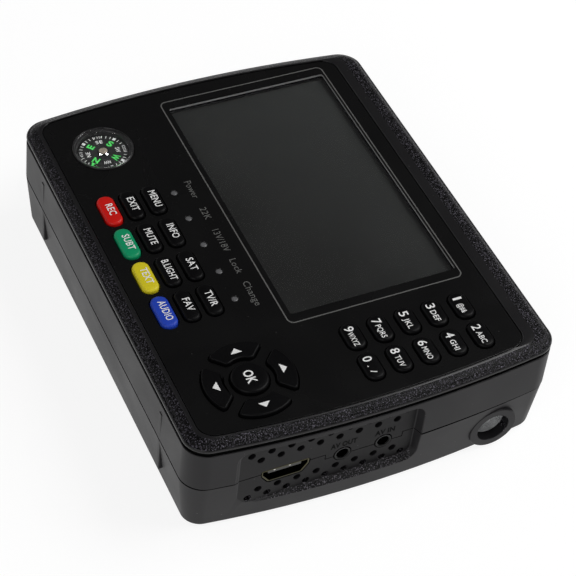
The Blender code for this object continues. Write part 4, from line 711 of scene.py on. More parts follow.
FROSTED_PLASTIC = moulded("frosted lens plastic", (0.26, 0.265, 0.27), (0.25, 0.4), 1200.0, 0.00002, 0.2,
                          0.2, 0.1)
LAMP_WHITE = moulded("lamp pipe plastic", (0.13, 0.13, 0.135), (0.3, 0.4), 1600.0, 0.00001, 0.1, 0.1, 0.0)
BOARD_GREEN = moulded("board lacquer", (0.006, 0.10, 0.035), (0.25, 0.4), 900.0, 0.00002, 0.5)
CELL_WRAP = moulded("cell wrap", (0.03, 0.11, 0.32), (0.25, 0.4), 300.0, 0.00002, 0.15)
SPEAKER_BLACK = moulded("speaker paint", (0.012, 0.012, 0.012), (0.5, 0.7), 900.0, 0.00006, 0.4)
CARD_BLACK = painted("compass card paint", (0.003, 0.003, 0.0034), 2400.0, 0.000004, 0.2)
COMPASS_GREEN = painted("dark green paint", (0.002, 0.055, 0.006), 3000.0, 0.000003, 0.3)
COMPASS_LIGHT = painted("glowing green paint", (0.10, 0.86, 0.16), 3000.0, 0.000003, 0.1)
CAP_TAUPE = moulded("compass cap paint", (0.30, 0.25, 0.19), (0.3, 0.4), 2400.0, 0.000004, 0.2, 0.2, 0.0)
STEEL = plated("plated steel", (0.62, 0.61, 0.58))
RING_STEEL = plated("jack ring plating", (0.010, 0.010, 0.010), (0.14, 0.22))
GOLD = plated("gilded contacts", (0.55, 0.44, 0.20), (0.25, 0.4))
OLIVE_STEEL = plated("dark plated shell", (0.060, 0.055, 0.030), (0.16, 0.24))
TINNED = plated("tinned sheet", (0.55, 0.55, 0.53), (0.35, 0.55), (300.0, 40.0, 300.0))
COVER_FINISHES = [SMOOTH_PLASTIC, SPARKED_PAINTED_SHADE_PLASTIC, LEDGE_PAINTED_LIGHT_PLASTIC, PAINTED_SEAM_SHADOW, RECESS_FLOOR_PAINTED_SHADE, RIM_SIDE_PAINTED_SHADE,
                  LIP_PAINTED_HIGHLIGHT]
CLEAR_PANE = clear("clear pane")
COMPASS_GLASS = clear("compass glass", (0.0, 0.0), 0.0)


# Case

def case_outline(bm, inset=0.0, z=0.0):
    return outline(bm, CASE_WIDTH - 2 * inset, CASE_DEPTH - 2 * inset, CASE_CORNER - inset, 10, z=z,
                   bow=CASE_BOW, cuts=16)


def panel_outline(bm, grow, z):
    return outline(bm, PANEL_WIDTH + 2 * grow, PANEL_DEPTH + 2 * grow, PANEL_CORNER + grow, 10, (0, PANEL_Y),
                   z, PANEL_BOW, 16)


def wall_x(y, z):
    """How far out the side wall stands at a height, with its bow and draft."""
    bow = CASE_BOW * (2 * y / CASE_DEPTH) ** 2
    if z > PARTING_Z:
        draft = WALL_TOP_DRAFT * min(1, (z - PARTING_Z) / (WALL_TOP_Z - PARTING_Z))
    else:
        draft = BASE_DRAFT * min(1, (PARTING_Z - z) / (PARTING_Z - BASE_ROUND))
    return CASE_WIDTH / 2 - bow - draft


def standing_walls(z0, z1, boss_radius):
    """What the cavity leaves standing: thick walls behind the recesses, and the screws' bosses."""
    bm = bmesh.new()
    rise = [(0, z1 - z0)]
    for side, front, back in RECESSES:
        spot = (side * (RECESS_INNER_X + BACKING_WIDTH / 2), (front + back) / 2)
        block(rise, BACKING_WIDTH, back - front + 0.005, 0, centre=spot, z=z0, into=bm)
    for spot in SCREW_PLACES:
        rod(rise, boss_radius, 28, spot, z0, into=bm)
    return bm


def hollowed(bm, inset, draft, z0, z1, up, boss_radius):
    """Cut the cavity from z0 to z1. It narrows by the draft towards its closed end, the upper one if up."""
    cavity = bmesh.new()
    slant = z1 - z0 - MARGIN
    solid(cavity, case_outline(cavity, inset, z0), [(0, MARGIN), (draft, slant)] if up
          else [(-draft, slant), (0, MARGIN)])
    cavity = combined(cavity, standing_walls(z0 - 0.003, z1 + 0.003, boss_radius))
    return combined(bm, cavity)


def recess_tool(side, front, back):
    """Recess: flat floor, flared walls, and a soft lip that follows the bowed wall."""
    bm = bmesh.new()
    soft = lip = 0.0004
    reach = CASE_WIDTH / 2 - RECESS_FLOOR_X
    middle = (RECESS_TOP_Z + RECESS_BOTTOM_Z) / 2
    face = outline(bm, back - front, RECESS_TOP_Z - RECESS_BOTTOM_Z, RECESS_CORNER,
                   centre=((front + back) / 2, middle), cuts=10)
    long_edges = [edge for edge in face.edges if edge.calc_length() > 0.01]
    bmesh.ops.bisect_edges(bm, edges=long_edges, cuts=24)
    solid(bm, face, [*round_out(soft, 3), (-RECESS_FLARE, reach - soft - lip), *flare_out(lip),
                     (0, 2 * MARGIN)])
    for vert in bm.verts:
        y, z, height = vert.co
        if z > middle:
            z -= RECESS_FLARE * min(1.0, height / reach)
        here = max(wall_x(y, z) - RECESS_FLOOR_X, 0.0004)
        squeeze = min(1.0, here / (soft + lip + 0.0002))
        if height > reach - lip:
            height = here - (reach - height) * (squeeze if height < reach else 1)
        elif height > soft:
            straight = (height - soft) / (reach - lip - soft)
            height = soft * squeeze + (here - (lip + soft) * squeeze) * straight
        else:
            height *= squeeze
        vert.co = (side * (RECESS_FLOOR_X + height), y, z)
    return bm


def side_hole(bm, side, y, z, size, steps=28):
    """Hole through a recess floor, with a small lip. Its size is a radius, or a slot's width and height."""
    before = set(bm.verts)
    spot = (side * y, z)
    if isinstance(size, tuple):
        drill(bm, outline(bm, *size, 0.0003, 4, spot, CUTTER_X), RECESS_FLOOR_X - CUTTER_X, 0.0001)
    else:
        drill(bm, disc(bm, size, steps, spot, CUTTER_X), RECESS_FLOOR_X - CUTTER_X, 0.00015)
    turned(bm, [vert for vert in bm.verts if vert not in before], TO_RIGHT if side > 0 else TO_LEFT)


def video_face(bm, grow, height):
    """Outline of the video socket, with two slanted lower corners."""
    half = VIDEO_WIDTH / 2 + grow
    foot = VIDEO_FOOT_WIDTH / 2 + grow * 0.6
    top = VIDEO_TOP_Z + grow
    bottom = VIDEO_TOP_Z - VIDEO_HEIGHT - grow
    shoulder = VIDEO_TOP_Z - VIDEO_SHOULDER
    known = set(bm.faces)
    verts = [bm.verts.new((VIDEO_Y + x, y, height)) for x, y in (
        (half, shoulder), (half, top), (-half, top), (-half, shoulder), (-foot, bottom), (foot, bottom))]
    bm.faces.new(verts)
    round_corners(bm, verts, 0.0005 + grow, 4)
    return facing_up(newest_face(bm, known))


def socket_holes():
    """Holes for everything that comes out of a recess floor."""
    bm = bmesh.new()
    solid(bm, video_face(bm, GAP, CUTTER_X), [(0, RECESS_FLOOR_X - CUTTER_X + 0.001)])
    turned(bm, bm.verts, TO_RIGHT)
    for _, y in JACK_PLACES:
        side_hole(bm, 1, y, JACK_Z, JACK_RING_RADIUS + GAP / 2, 40)
    side_hole(bm, -1, LNB_Y, LNB_Z, LNB_RADIUS + GAP, 48)
    side_hole(bm, -1, DC_Y, DC_Z, DC_NOSE_RADIUS + GAP / 2, 48)
    side_hole(bm, -1, DATA_Y, DATA_Z, (DATA_WIDTH + 2 * GAP, DATA_HEIGHT + 2 * GAP))
    side_hole(bm, -1, SWITCH_Y, SWITCH_Z, (SWITCH_KNOB_WIDTH + SWITCH_TRAVEL + 2 * GAP,
                                           SWITCH_KNOB_HEIGHT + 2 * GAP))
    return bm


def vent_holes(rows):
    bm = bmesh.new()
    for start, count, z in rows:
        for step in range(count):
            side_hole(bm, 1, VENT_FIRST_Y + (start / 2 + step) * VENT_PITCH, z, VENT_RADIUS)
    return bm


def ribs(z0, z1):
    """Grip ribs on the front and back walls."""
    bm = bmesh.new()
    soft = 0.0003
    for x in (-RIB_X, RIB_X):
        for side in (-1, 1):
            block([(0, z1 - z0 - soft), *round_over(soft, 3)], RIB_WIDTH, RIB_DEPTH, 0.0004, 4,
                  (x, side * (CASE_DEPTH - RIB_DEPTH) / 2), z0, into=bm)
    return bm


def tab_tool(grow, right):
    """Tab of the front cover that reaches down between the recess's sockets, or with grow its notch."""
    return block([(0, TAB_DROP + 0.001)], right - CUTTER_X, TAB_BACK - TAB_FRONT + 2 * grow, 0,
                 centre=((right + CUTTER_X) / 2, (TAB_FRONT + TAB_BACK) / 2),
                 z=PARTING_Z - TAB_DROP + (-GAP / 2 if grow else GAP / 2))


def stadium(bm, length, width, centre, z, grow=0.0):
    return outline(bm, length + 2 * grow, width + 2 * grow, width / 2 + grow - 0.0002, 10, centre, z)


ARROWS = (("key_right", 0), ("key_up", 90), ("key_left", 180), ("key_down", 270))


def long_keys():
    """Every long key as (node, middle x, middle y, length, width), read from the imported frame."""
    places = []
    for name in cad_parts:
        if name.startswith("key_") and name not in ("key_ok", *dict(ARROWS)):
            low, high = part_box(name)
            places.append((name, (low.x + high.x) / 2 - CASE_X, (low.y + high.y) / 2,
                           high.x - low.x - 2 * KEY_FLANGE, high.y - low.y - 2 * KEY_FLANGE))
    return sorted(places)


def key_holes(z0, z1, lip=0.0):
    """Cutters for every key and lamp. With a lip, the holes open out a little at z1."""
    bm = bmesh.new()
    for _, x, y, length, width in long_keys():
        drill(bm, stadium(bm, length, width, (x, y), z0, GAP), z1 - z0, lip)
    for _, degrees in ARROWS:
        face = wedge(bm, PAD_INNER_RADIUS - GAP, PAD_RADIUS + GAP, PAD_SLIT - 2 * GAP, degrees, z0)
        drill(bm, face, z1 - z0, lip)
    drill(bm, disc(bm, OK_RADIUS + GAP, 64, (PAD_X, PAD_Y), z0), z1 - z0, lip)
    for spot in LAMP_PLACES:
        drill(bm, disc(bm, LAMP_RADIUS + GAP / 3, 24, spot, z0), z1 - z0, lip)
    return bm


def cover_finish(face):
    """Finish of a cover's face, by where it lies and how level it is. Most are copies of the one case
    plastic, darker or lighter by place: painted shadow in the seams and the groove, painted shade on the
    rim's side, the recess floors and the tops, painted light on the ledge and a painted highlight on the lip.
    """
    middle = face.calc_center_median()
    level = abs(face.normal.z)
    out = abs(middle.x - CASE_X)
    groove_top_z = WALL_TOP_Z + GROOVE_HEIGHT
    # Faces in the parting seam and under the tab: painted shadow.
    on_seam = abs(middle.z - PARTING_Z) < GAP / 2 + SEAM_EDGE and level > 0.5
    if on_seam or abs(middle.z - PARTING_Z + TAB_DROP) < GAP and level > 0.9:
        return PAINTED_SEAM_SHADOW
    if out > BEZEL_INNER_X or abs(middle.y) > BEZEL_INNER_Y:
        # Faces of the groove under the rim: painted shadow.
        if WALL_TOP_Z - 0.0001 < middle.z < groove_top_z + 0.0001 and (level > 0.98 or level < 0.02):
            return PAINTED_SEAM_SHADOW
        # The rim's side and its round: painted shade.
        if groove_top_z < middle.z and (face.normal.z < 0.72 or middle.z < RIM_TOP_SPLIT_Z):
            return RIM_SIDE_PAINTED_SHADE
    # Recess floors: painted shade.
    for _, front, back in RECESSES:
        inside = front < middle.y < back and RECESS_BOTTOM_Z < middle.z < RECESS_TOP_Z
        if inside and abs(face.normal.x) > 0.9999 and abs(out - RECESS_FLOOR_X) < 0.0002:
            return RECESS_FLOOR_PAINTED_SHADE
    # The lip round the panel: painted highlight.
    if level > 0.5 and LIP_Z - 0.0002 < middle.z < LIP_Z + 0.0001:
        return LIP_PAINTED_HIGHLIGHT
    # Tops: spark grain, with painted shade in their darker base.
    if face.normal.z > 0.55 and middle.z > RIM_TOP_SPLIT_Z:
        return SPARKED_PAINTED_SHADE_PLASTIC
    # Ledge under each recess: painted light.
    if face.normal.z > 0.25 and RECESS_BOTTOM_Z - LEDGE_DEPTH < middle.z < RECESS_BOTTOM_Z + 0.001:
        return LEDGE_PAINTED_LIGHT_PLASTIC
    return SMOOTH_PLASTIC


def front_cover():
    bm = bmesh.new()
    bottom = PARTING_Z + GAP / 2
    face = case_outline(bm, SEAM_EDGE, bottom)
    solid(bm, face, [
        (-SEAM_EDGE, SEAM_EDGE),
        (WALL_TOP_DRAFT, WALL_TOP_Z - bottom - SEAM_EDGE - WALL_TOP_ROUND),
        *round_over(WALL_TOP_ROUND, 3),
        (GROOVE_DEPTH - WALL_TOP_DRAFT - WALL_TOP_ROUND, 0.00001),
        (0, GROOVE_HEIGHT),
        (RIM_DRAFT + RIM_EDGE - GROOVE_DEPTH, 0),
        *round_out(RIM_EDGE, 3),
        (0, RIM_HEIGHT - RIM_EDGE),
        *round_over(RIM_ROUND, 6),
        *CROWN_STEPS,
    ])
    # The crown's upper edge turns step by step into the panel's outline
    crown_width = CASE_WIDTH - 2 * CROWN_INSET
    crown_depth = CASE_DEPTH - 2 * CROWN_INSET
    across = (PANEL_WIDTH + 2 * (GAP + LIP_WIDTH)) / crown_width
    deep = (PANEL_DEPTH + 2 * (GAP + LIP_WIDTH)) / crown_depth
    for share, rise in ((0.5, 0.00032), (1.0, 0.00018)):
        carry(bm, face, [(0, rise)])
        xs, ys = zip(*[vert.co.xy for vert in face.verts])
        width = max(xs) * 2 / crown_width
        depth = (max(ys) - min(ys)) / crown_depth
        moved(bm, face.verts, 0, -(max(ys) + min(ys)) / 2)
        grow = ((1 + (across - 1) * share) / width, (1 + (deep - 1) * share) / depth, 1)
        bmesh.ops.scale(bm, vec=grow, verts=face.verts)
        moved(bm, face.verts, 0, PANEL_Y * share)
    pocket = bmesh.new()
    drill(pocket, panel_outline(pocket, GAP, PLATE_TOP_Z), LIP_Z - PLATE_TOP_Z, 0.00015)
    bm = combined(bm, pocket)
    bm = combined(bm, ribs(bottom + 0.0001, RIB_TOP_Z), operation="UNION")
    bm = hollowed(bm, WALL, WALL_TOP_DRAFT, bottom - MARGIN, PLATE_BOTTOM_Z, True, FRONT_BOSS_RADIUS)
    bm = combined(bm, tab_tool(0.0, RECESS_FLOOR_X + 0.0008), operation="UNION")
    below = PLATE_BOTTOM_Z - MARGIN
    wells = rod([(0, 4 * MARGIN)], COMPASS_CUP_RADIUS + GAP, 64, (COMPASS_X, COMPASS_Y), below)
    block([(0, 4 * MARGIN)], OPENING_WIDTH, OPENING_DEPTH, 0.001, 5, SCREEN_PLACE, below, into=wells)
    rebate = block([(0, 2 * MARGIN)], PANE_WIDTH + 2 * GAP, PANE_DEPTH + 2 * GAP, PANE_CORNER, 2,
                   SCREEN_PLACE, PANE_BOTTOM_Z)
    bores = bmesh.new()
    for spot in SCREW_PLACES:
        rod([(0, SCREW_BORE_DEPTH)], BOSS_BORE_RADIUS, 20, spot, bottom - 0.001, into=bores)
    bm = combined(bm, *(recess_tool(*place) for place in RECESSES), vent_holes(VENT_ROWS[:2]), socket_holes(),
                  key_holes(below, LIP_Z), wells, rebate, bores)
    piece("front_cover_shell", bm, COVER_FINISHES, "case", ["front_cover"],
          pick=cover_finish)


def back_cover():
    bm = bmesh.new()
    top = PARTING_Z - GAP / 2
    solid(bm, case_outline(bm, BASE_DRAFT + BASE_ROUND, 0), [
        *round_out(BASE_ROUND, 6), (-BASE_DRAFT, top - SEAM_EDGE - BASE_ROUND), (SEAM_EDGE, SEAM_EDGE)])
    bm = combined(bm, ribs(RIB_BOTTOM_Z, top - 0.0001), operation="UNION")
    bm = hollowed(bm, WALL + BASE_DRAFT, BASE_DRAFT, FLOOR, top + MARGIN, False, BACK_BOSS_RADIUS)
    torch_place = (TORCH_Y, TORCH_Z)
    collar = rod([(0, TORCH_FACE_X - COLLAR_BACK_X - 0.0003), *round_over(0.0003, 3)],
                 TORCH_COLLAR_RADIUS, 56, torch_place, COLLAR_BACK_X)
    turned(collar, collar.verts, TO_RIGHT)
    bm = combined(bm, collar, operation="UNION")
    holes = bmesh.new()
    for spot in SCREW_PLACES:
        rod([(0, 0.00097), (0.0004, 0.0004), (0, COUNTERBORE_TOP_Z - 0.0004),
             (COUNTERBORE_RADIUS - BOSS_BORE_RADIUS, 0), (0, SCREW_BORE_DEPTH)],
            COUNTERBORE_RADIUS + 0.0004, 36, spot, -0.001, into=holes)
    polar = [(0, 0.0)] + [(ring, step * math.pi / (3 * ring)) for ring in (1, 2) for step in range(6 * ring)]
    for ring, angle in polar:
        far = ring * GRILLE_PITCH
        rod([(0, 0.00097), (0.00015, 0.00015), (0, 0.004)], GRILLE_HOLE_RADIUS + 0.00015, 24,
            (SPEAKER_X + far * math.cos(angle), SPEAKER_Y + far * math.sin(angle)), -0.001, into=holes)
    bore = rod([(0, LENS_SEAT_X - LAMP_BORE_X), (LAMP_BORE_RADIUS - TORCH_BORE_RADIUS, 0),
                (0, TORCH_FACE_X - LENS_SEAT_X - 0.00027), *flare_out(0.0003, 3), (0, 0.002)],
               LAMP_BORE_RADIUS, 48, torch_place, LAMP_BORE_X)
    turned(bore, bore.verts, TO_RIGHT)
    bm = combined(bm, *(recess_tool(*place) for place in RECESSES), tab_tool(GAP, RECESS_FLOOR_X + 0.002),
                  vent_holes(VENT_ROWS[2:]), socket_holes(), holes, bore)
    piece("back_cover_shell", bm, COVER_FINISHES, "case", ["back_cover"], pick=cover_finish)


# Panel and display

def front_panel():
    bm = bmesh.new()
    thick = PANEL_TOP_Z - PANEL_BOTTOM_Z
    below = PANEL_BOTTOM_Z - 0.001
    solid(bm, panel_outline(bm, 0, PANEL_BOTTOM_Z), [(0, thick - 0.0001), *round_over(0.0001, 2)])
    wells = bmesh.new()
    drill(wells, disc(wells, COMPASS_RIM_RADIUS + GAP / 2, 64, (COMPASS_X, COMPASS_Y), below), thick + 0.001,
          PANEL_LIP)
    drill(wells, outline(wells, OPENING_WIDTH, OPENING_DEPTH, 0.0008, 5, SCREEN_PLACE, below), thick + 0.001,
          PANEL_LIP)
    bm = combined(bm, key_holes(below, PANEL_TOP_Z, PANEL_LIP), wells)

    def pick(face):
        """The cut edge round the display gets a light grey: a painted highlight."""
        middle = face.calc_center_median()
        inside = (abs(middle.x - CASE_X - SCREEN_X) < OPENING_WIDTH / 2 + 0.0001
                  and abs(middle.y - SCREEN_Y) < OPENING_DEPTH / 2 + 0.0001)
        return PANEL_EDGE_HIGHLIGHT if inside and abs(face.normal.z) < 0.3 else PANEL_PRINT
    piece("front_panel_overlay", bm, [PANEL_PRINT, PANEL_EDGE_HIGHLIGHT], "case", ["front_panel"],
          pick=pick)

    z = PANEL_TOP_Z + INK_LIFT
    bm = bmesh.new()
    face = outline(bm, LINE_RIGHT - LINE_LEFT, LINE_BACK - LINE_FRONT, LINE_CORNER, 8,
                   ((LINE_LEFT + LINE_RIGHT) / 2, (LINE_FRONT + LINE_BACK) / 2), z)
    carry(bm, face, [(LINE_WIDTH, 0)])
    bmesh.ops.delete(bm, geom=[face], context="FACES")
    piece("panel_line_print", bm, [GREY_INK], "case")

    labels = (("Power", 0.0005, 0.0079), ("22K", -0.0002, 0.0054), ("13V/18V", 0.0002, 0.0099),
              ("Lock", -0.0002, 0.0063), ("Change", -0.0002, 0.0103))
    marks = [(words, x + shift, y + LABEL_RISE, z, 0.0022, width, 0.0)
             for (x, y), (words, shift, width) in zip(LAMP_PLACES, labels)]
    lettering("lamp_label_print", marks, GREY_INK, "case")


def display():
    pane = block([(0, PLATE_TOP_Z - PANE_BOTTOM_Z - 0.0001), (0.0001, 0.0001)],
                 PANE_WIDTH, PANE_DEPTH, PANE_CORNER, 2, SCREEN_PLACE, PANE_BOTTOM_Z)
    piece("display_pane", pane, [CLEAR_PANE], "case", ["display_window"])
    width = OPENING_WIDTH - 2 * GAP
    glass = block([(0, GLASS_TOP_Z - GLASS_BOTTOM_Z), ((width - SCREEN_WIDTH) / 2, 0)],
                  width, OPENING_DEPTH - 2 * GAP, 0, centre=SCREEN_PLACE, z=GLASS_BOTTOM_Z)
    screen, border = display_materials()

    def pick(face):
        """Only the inset face on top is screen."""
        middle = face.calc_center_median()
        inside = abs(middle.x - CASE_X - SCREEN_X) < 0.002 and abs(middle.y - SCREEN_Y) < 0.002
        return screen if inside and middle.z > GLASS_TOP_Z - 0.0001 else border
    piece("display_glass", glass, [screen, border], "case", ["lcd_glass"], pick=pick)


def display_materials():
    """Switched-off screen with a fine dot pitch and faint smears, lighter towards its -X, +Y corner by a
    painted reflection, and its black border.
    """
    made, tree, shader = blank_material("switched off screen", IOR=1.5)
    place = object_place(tree)
    marks = placed(tree, HANDLING, Least=0.28, Most=0.36, Patches_per_metre=30.0, Dust=0.5)
    haze = ramp(tree, noise(tree, place, 22.0, 3.0, ("Distortion", 1.5)), 0.35, 0.7)
    # Lighter band towards the screen's -X, +Y corner: painted reflection.
    fall = ramp(tree, along(tree, place, (-0.6, 0.8, 0.0)), -0.015, 0.062)
    base = blend_colours(tree, haze, (0.0022, 0.0022, 0.0018, 1.0), (0.0032, 0.0033, 0.0030, 1.0))
    base = blend_colours(tree, fall, base, (0.0195, 0.0210, 0.0200, 1.0))
    base = blend_colours(tree, marks.outputs["Dust"], base, (0.12, 0.12, 0.12, 1.0))
    grain = placed(tree, GRAIN, Grains_per_metre=6000.0)
    finished(tree, shader, base, marks.outputs["Sheen"], grain.outputs["Height"], 0.000001)
    border = moulded("screen border print", (0.008, 0.008, 0.008), (0.3, 0.4), 3000.0, 0.000001, 0.1,
                     0.0, 0.0)
    return made, border


# Keys

# Words, their width, and the key's rubber and slot
KEY_WORDS = {
    "key_record": ("REC", 0.0049, RED_RUBBER, "rubber_red"),
    "key_subtitle": ("SUBT", 0.0067, GREEN_RUBBER, "rubber_green"),
    "key_text": ("TEXT", 0.0067, YELLOW_RUBBER, "rubber_yellow"),
    "key_audio": ("AUDIO", 0.0080, BLUE_RUBBER, "rubber_blue"),
    "key_exit": ("EXIT", 0.0061), "key_mute": ("MUTE", 0.0070), "key_backlight": ("B.LIGHT", 0.0086),
    "key_favourite": ("FAV", 0.0053), "key_menu": ("MENU", 0.0073), "key_info": ("INFO", 0.0063),
    "key_satellite": ("SAT", 0.0053), "key_television_radio": ("TV/R", 0.0064),
}
DIGIT_LETTERS = {"1": ("@#&", 0.0037), "2": ("ABC", 0.0046), "3": ("DEF", 0.0044), "4": ("GHI", 0.0041),
                 "5": ("JKL", 0.0041), "6": ("MNO", 0.0049), "7": ("PQRS", 0.0052), "8": ("TUV", 0.0044),
                 "9": ("WXYZ", 0.0055), "0": (". /", 0.0032)}


def key_cap(label, bm, name, top_z, soft, crown, rubber=BLACK_RUBBER, slot="rubber_black"):
    """Raise the newest face to a rubber cap: a slight taper, a soft edge and a faint crown."""
    steps = [(KEY_TAPER, top_z - KEY_FOOT_Z - soft - crown), *round_over(soft, 5)]
    if crown:
        steps += [(0.0007, crown * 0.65), (0.0007, crown * 0.35)]
    solid(bm, newest_face(bm, ()), steps)
    piece(label + "_key_cap", bm, [rubber], name, [name], smooth=60)


def keys():
    z = KEY_TOP_Z + INK_LIFT
    for name, x, y, length, width in long_keys():
        short = name[4:]
        words, reach, *colouring = KEY_WORDS.get(name, (None, None))
        label = "digit_" + short if short.isdigit() else short
        bm = bmesh.new()
        stadium(bm, length, width, (x, y), KEY_FOOT_Z)
        key_cap(label, bm, name, KEY_TOP_Z, 0.0009, 0.00012, *colouring)
        if words:
            marks = [(words, x + 0.0002, y + 0.0004, z, 0.0023, reach, 0.00004)]
        else:
            letters, reach = DIGIT_LETTERS[short]
            marks = [(short, x - 0.0024, y - 0.0003, z, 0.0029, 0.0009 if short == "1" else 0.0019, 0.00005),
                     (letters, x + 0.0016, y - 0.0006, z, 0.0018, reach, 0.00003)]
        lettering(label + "_key_print", marks, WHITE_INK, name)
    for name, degrees in ARROWS:
        bm = bmesh.new()
        wedge(bm, PAD_INNER_RADIUS, PAD_RADIUS, PAD_SLIT, degrees, KEY_FOOT_Z)
        key_cap(name[4:], bm, name, KEY_TOP_Z, 0.0005, 0)
        bm = bmesh.new()
        disc(bm, ARROW_BASE / math.sqrt(3), 3)
        turned(bm, bm.verts, about_z(-90))
        bmesh.ops.scale(bm, vec=(ARROW_HEIGHT * 2 / math.sqrt(3) / ARROW_BASE, 1, 1), verts=bm.verts)
        moved(bm, bm.verts, ARROW_REACH, 0)
        piece(name[4:] + "_arrow_print", bm, [WHITE_INK], name, turn=about_z(degrees),
              at=(PAD_X, PAD_Y, z))
    bm = bmesh.new()
    disc(bm, OK_RADIUS, 64, (PAD_X, PAD_Y), KEY_FOOT_Z)
    key_cap("ok", bm, "key_ok", OK_TOP_Z, 0.0008, 0.0001)
    lettering("ok_key_print", [("OK", PAD_X, PAD_Y, OK_TOP_Z + INK_LIFT, 0.0029, 0.0050, 0.00010)], WHITE_INK,
              "key_ok")


def lamps():
    """Clear strip with five round pillars, domed a little at their tops."""
    bm = block([(0, 0.002)], 4 * LAMP_PITCH + 0.003, 0.003, 0.0005, 3, LAMP_PLACES[2], 0.0315)
    for spot in LAMP_PLACES:
        rod([(0, PANEL_TOP_Z - 0.0002 - LAMP_FOOT_Z), (0.0002, 0.0001), (0.0004, 0.00008)],
            LAMP_RADIUS, 24, spot, LAMP_FOOT_Z, into=bm)
    piece("lamp_pipe_strip", bm, [LAMP_WHITE], "case", ["signal_light_pipe"])


# Compass

def compass():
    middle = (COMPASS_X, COMPASS_Y)
    cup, rim, pane, bore = COMPASS_CUP_RADIUS, COMPASS_RIM_RADIUS, COMPASS_PANE_RADIUS, COMPASS_BORE_RADIUS
    bm = spun([
        (0, 0.0318), (cup, 0.0318), (cup, 0.0377), (rim, 0.0377), (rim, 0.0388), (rim - 0.0001, 0.03895),
        (rim - 0.0002, 0.0390), (pane + 0.0002, 0.0390), (pane + 0.0001, 0.0389), (pane + 0.0001, 0.0381),
        (bore + 0.0001, 0.0381), (bore - 0.0001, 0.0379), (bore - 0.0003, 0.0368), (bore - 0.0003, 0.0356),
        (0.0010, 0.0356), (0.0004, 0.0360), (0, 0.0360)], 72, middle)
    piece("compass_cup", bm, [CUP_PLASTIC], "case", ["compass_housing"], smooth=40)
    bm = spun([
        (0, 0.0382), (pane, 0.0382), (pane, 0.0387), (pane - 0.0002, 0.03888), (pane - 0.0004, 0.03893),
        (pane - 0.0007, 0.03895), (pane - 0.0010, 0.03895), (0, 0.03895)], 72, middle)
    piece("compass_pane", bm, [COMPASS_GLASS], "case", ["compass_window"], smooth=40)
    top = COMPASS_CARD_TOP_Z
    radius = COMPASS_CARD_RADIUS + 0.0002
    bm = spun([(0, 0.0361), (radius - 0.0002, 0.0361), (radius, 0.0363), (radius, top - 0.0001),
               (radius - 0.0001, top), (0.0007, top), (0.0006, top + 0.0001), (0.0006, top + 0.0005),
               (0, top + 0.0005)], 72, middle)
    piece("compass_disc", bm, [CARD_BLACK], "compass", ["compass_card"], smooth=40)
    bm = spun([(0, top + 0.0004), (0.0012, top + 0.0004), (0.0014, top + 0.0005), (0.0014, top + 0.0007),
               (0.0012, top + 0.00088), (0, top + 0.0009)], 40, middle)
    piece("compass_cap", bm, [CAP_TAUPE], "compass", smooth=60)

    # Ring of fine ticks, with a bold block at each quarter and room for a number at each half quarter
    level = top + INK_LIFT
    bm = bmesh.new()
    for step in range(32):
        if step == 0 or step % 8 == 4:
            continue
        face = outline(bm, 0.0010 if step % 8 == 0 else 0.00022, 0.0011, 0, centre=(0, 0.0072), z=level)
        turned(bm, face.verts, about_z(COMPASS_HEADING + step * 11.25))
    piece("compass_tick_print", bm, [WHITE_INK], "compass", at=(*middle, 0))

    def print_on_card(name, marks, ink, quarter):
        """Each mark is (words, distance from the middle, lift, height, width, weight)."""
        turn = about_z(COMPASS_HEADING + quarter)
        spots = []
        for words, far, lift, *sizes in marks:
            place = turn @ Vector((0, far, 0))
            spots.append((words, COMPASS_X + place.x, COMPASS_Y + place.y, level + lift, *sizes))
        lettering(name, spots, ink, "compass", turn)

    for words, quarter, width in (("N", 0, 0.0021), ("E", -90, 0.0017), ("S", 180, 0.0019),
                                  ("W", 90, 0.0026)):
        halo = [(words, 0.0046, 0, 0.0024, width + 0.0003, 0.00030)]
        print_on_card("compass_halo_" + words.lower(), halo, COMPASS_GREEN, quarter)
        light = [(words, 0.0046, INK_LIFT, 0.0023, width, 0.00010)]
        print_on_card("compass_letter_" + words.lower(), light, COMPASS_LIGHT, quarter)
    for words, number, quarter in (("NE", "45", -45), ("SE", "135", -135), ("SW", "225", 135),
                                   ("NW", "315", 45)):
        marks = [(words, 0.0049, 0, 0.0014, 0.0023, 0.00002),
                 (number, 0.0071, 0, 0.0010, 0.0007 * len(number), 0.0)]
        print_on_card("compass_letter_" + words.lower(), marks, WHITE_INK, quarter)
    for label, size, lift, ink in (("halo", 0.0013, 0, COMPASS_GREEN),
                                   ("head", 0.0009, INK_LIFT, COMPASS_LIGHT)):
        bm = bmesh.new()
        disc(bm, size, 3, (0, 0.0064), level + lift)
        piece("compass_north_" + label, bm, [ink], "compass", turn=about_z(COMPASS_HEADING),
              at=(*middle, 0))


# Sockets and torch

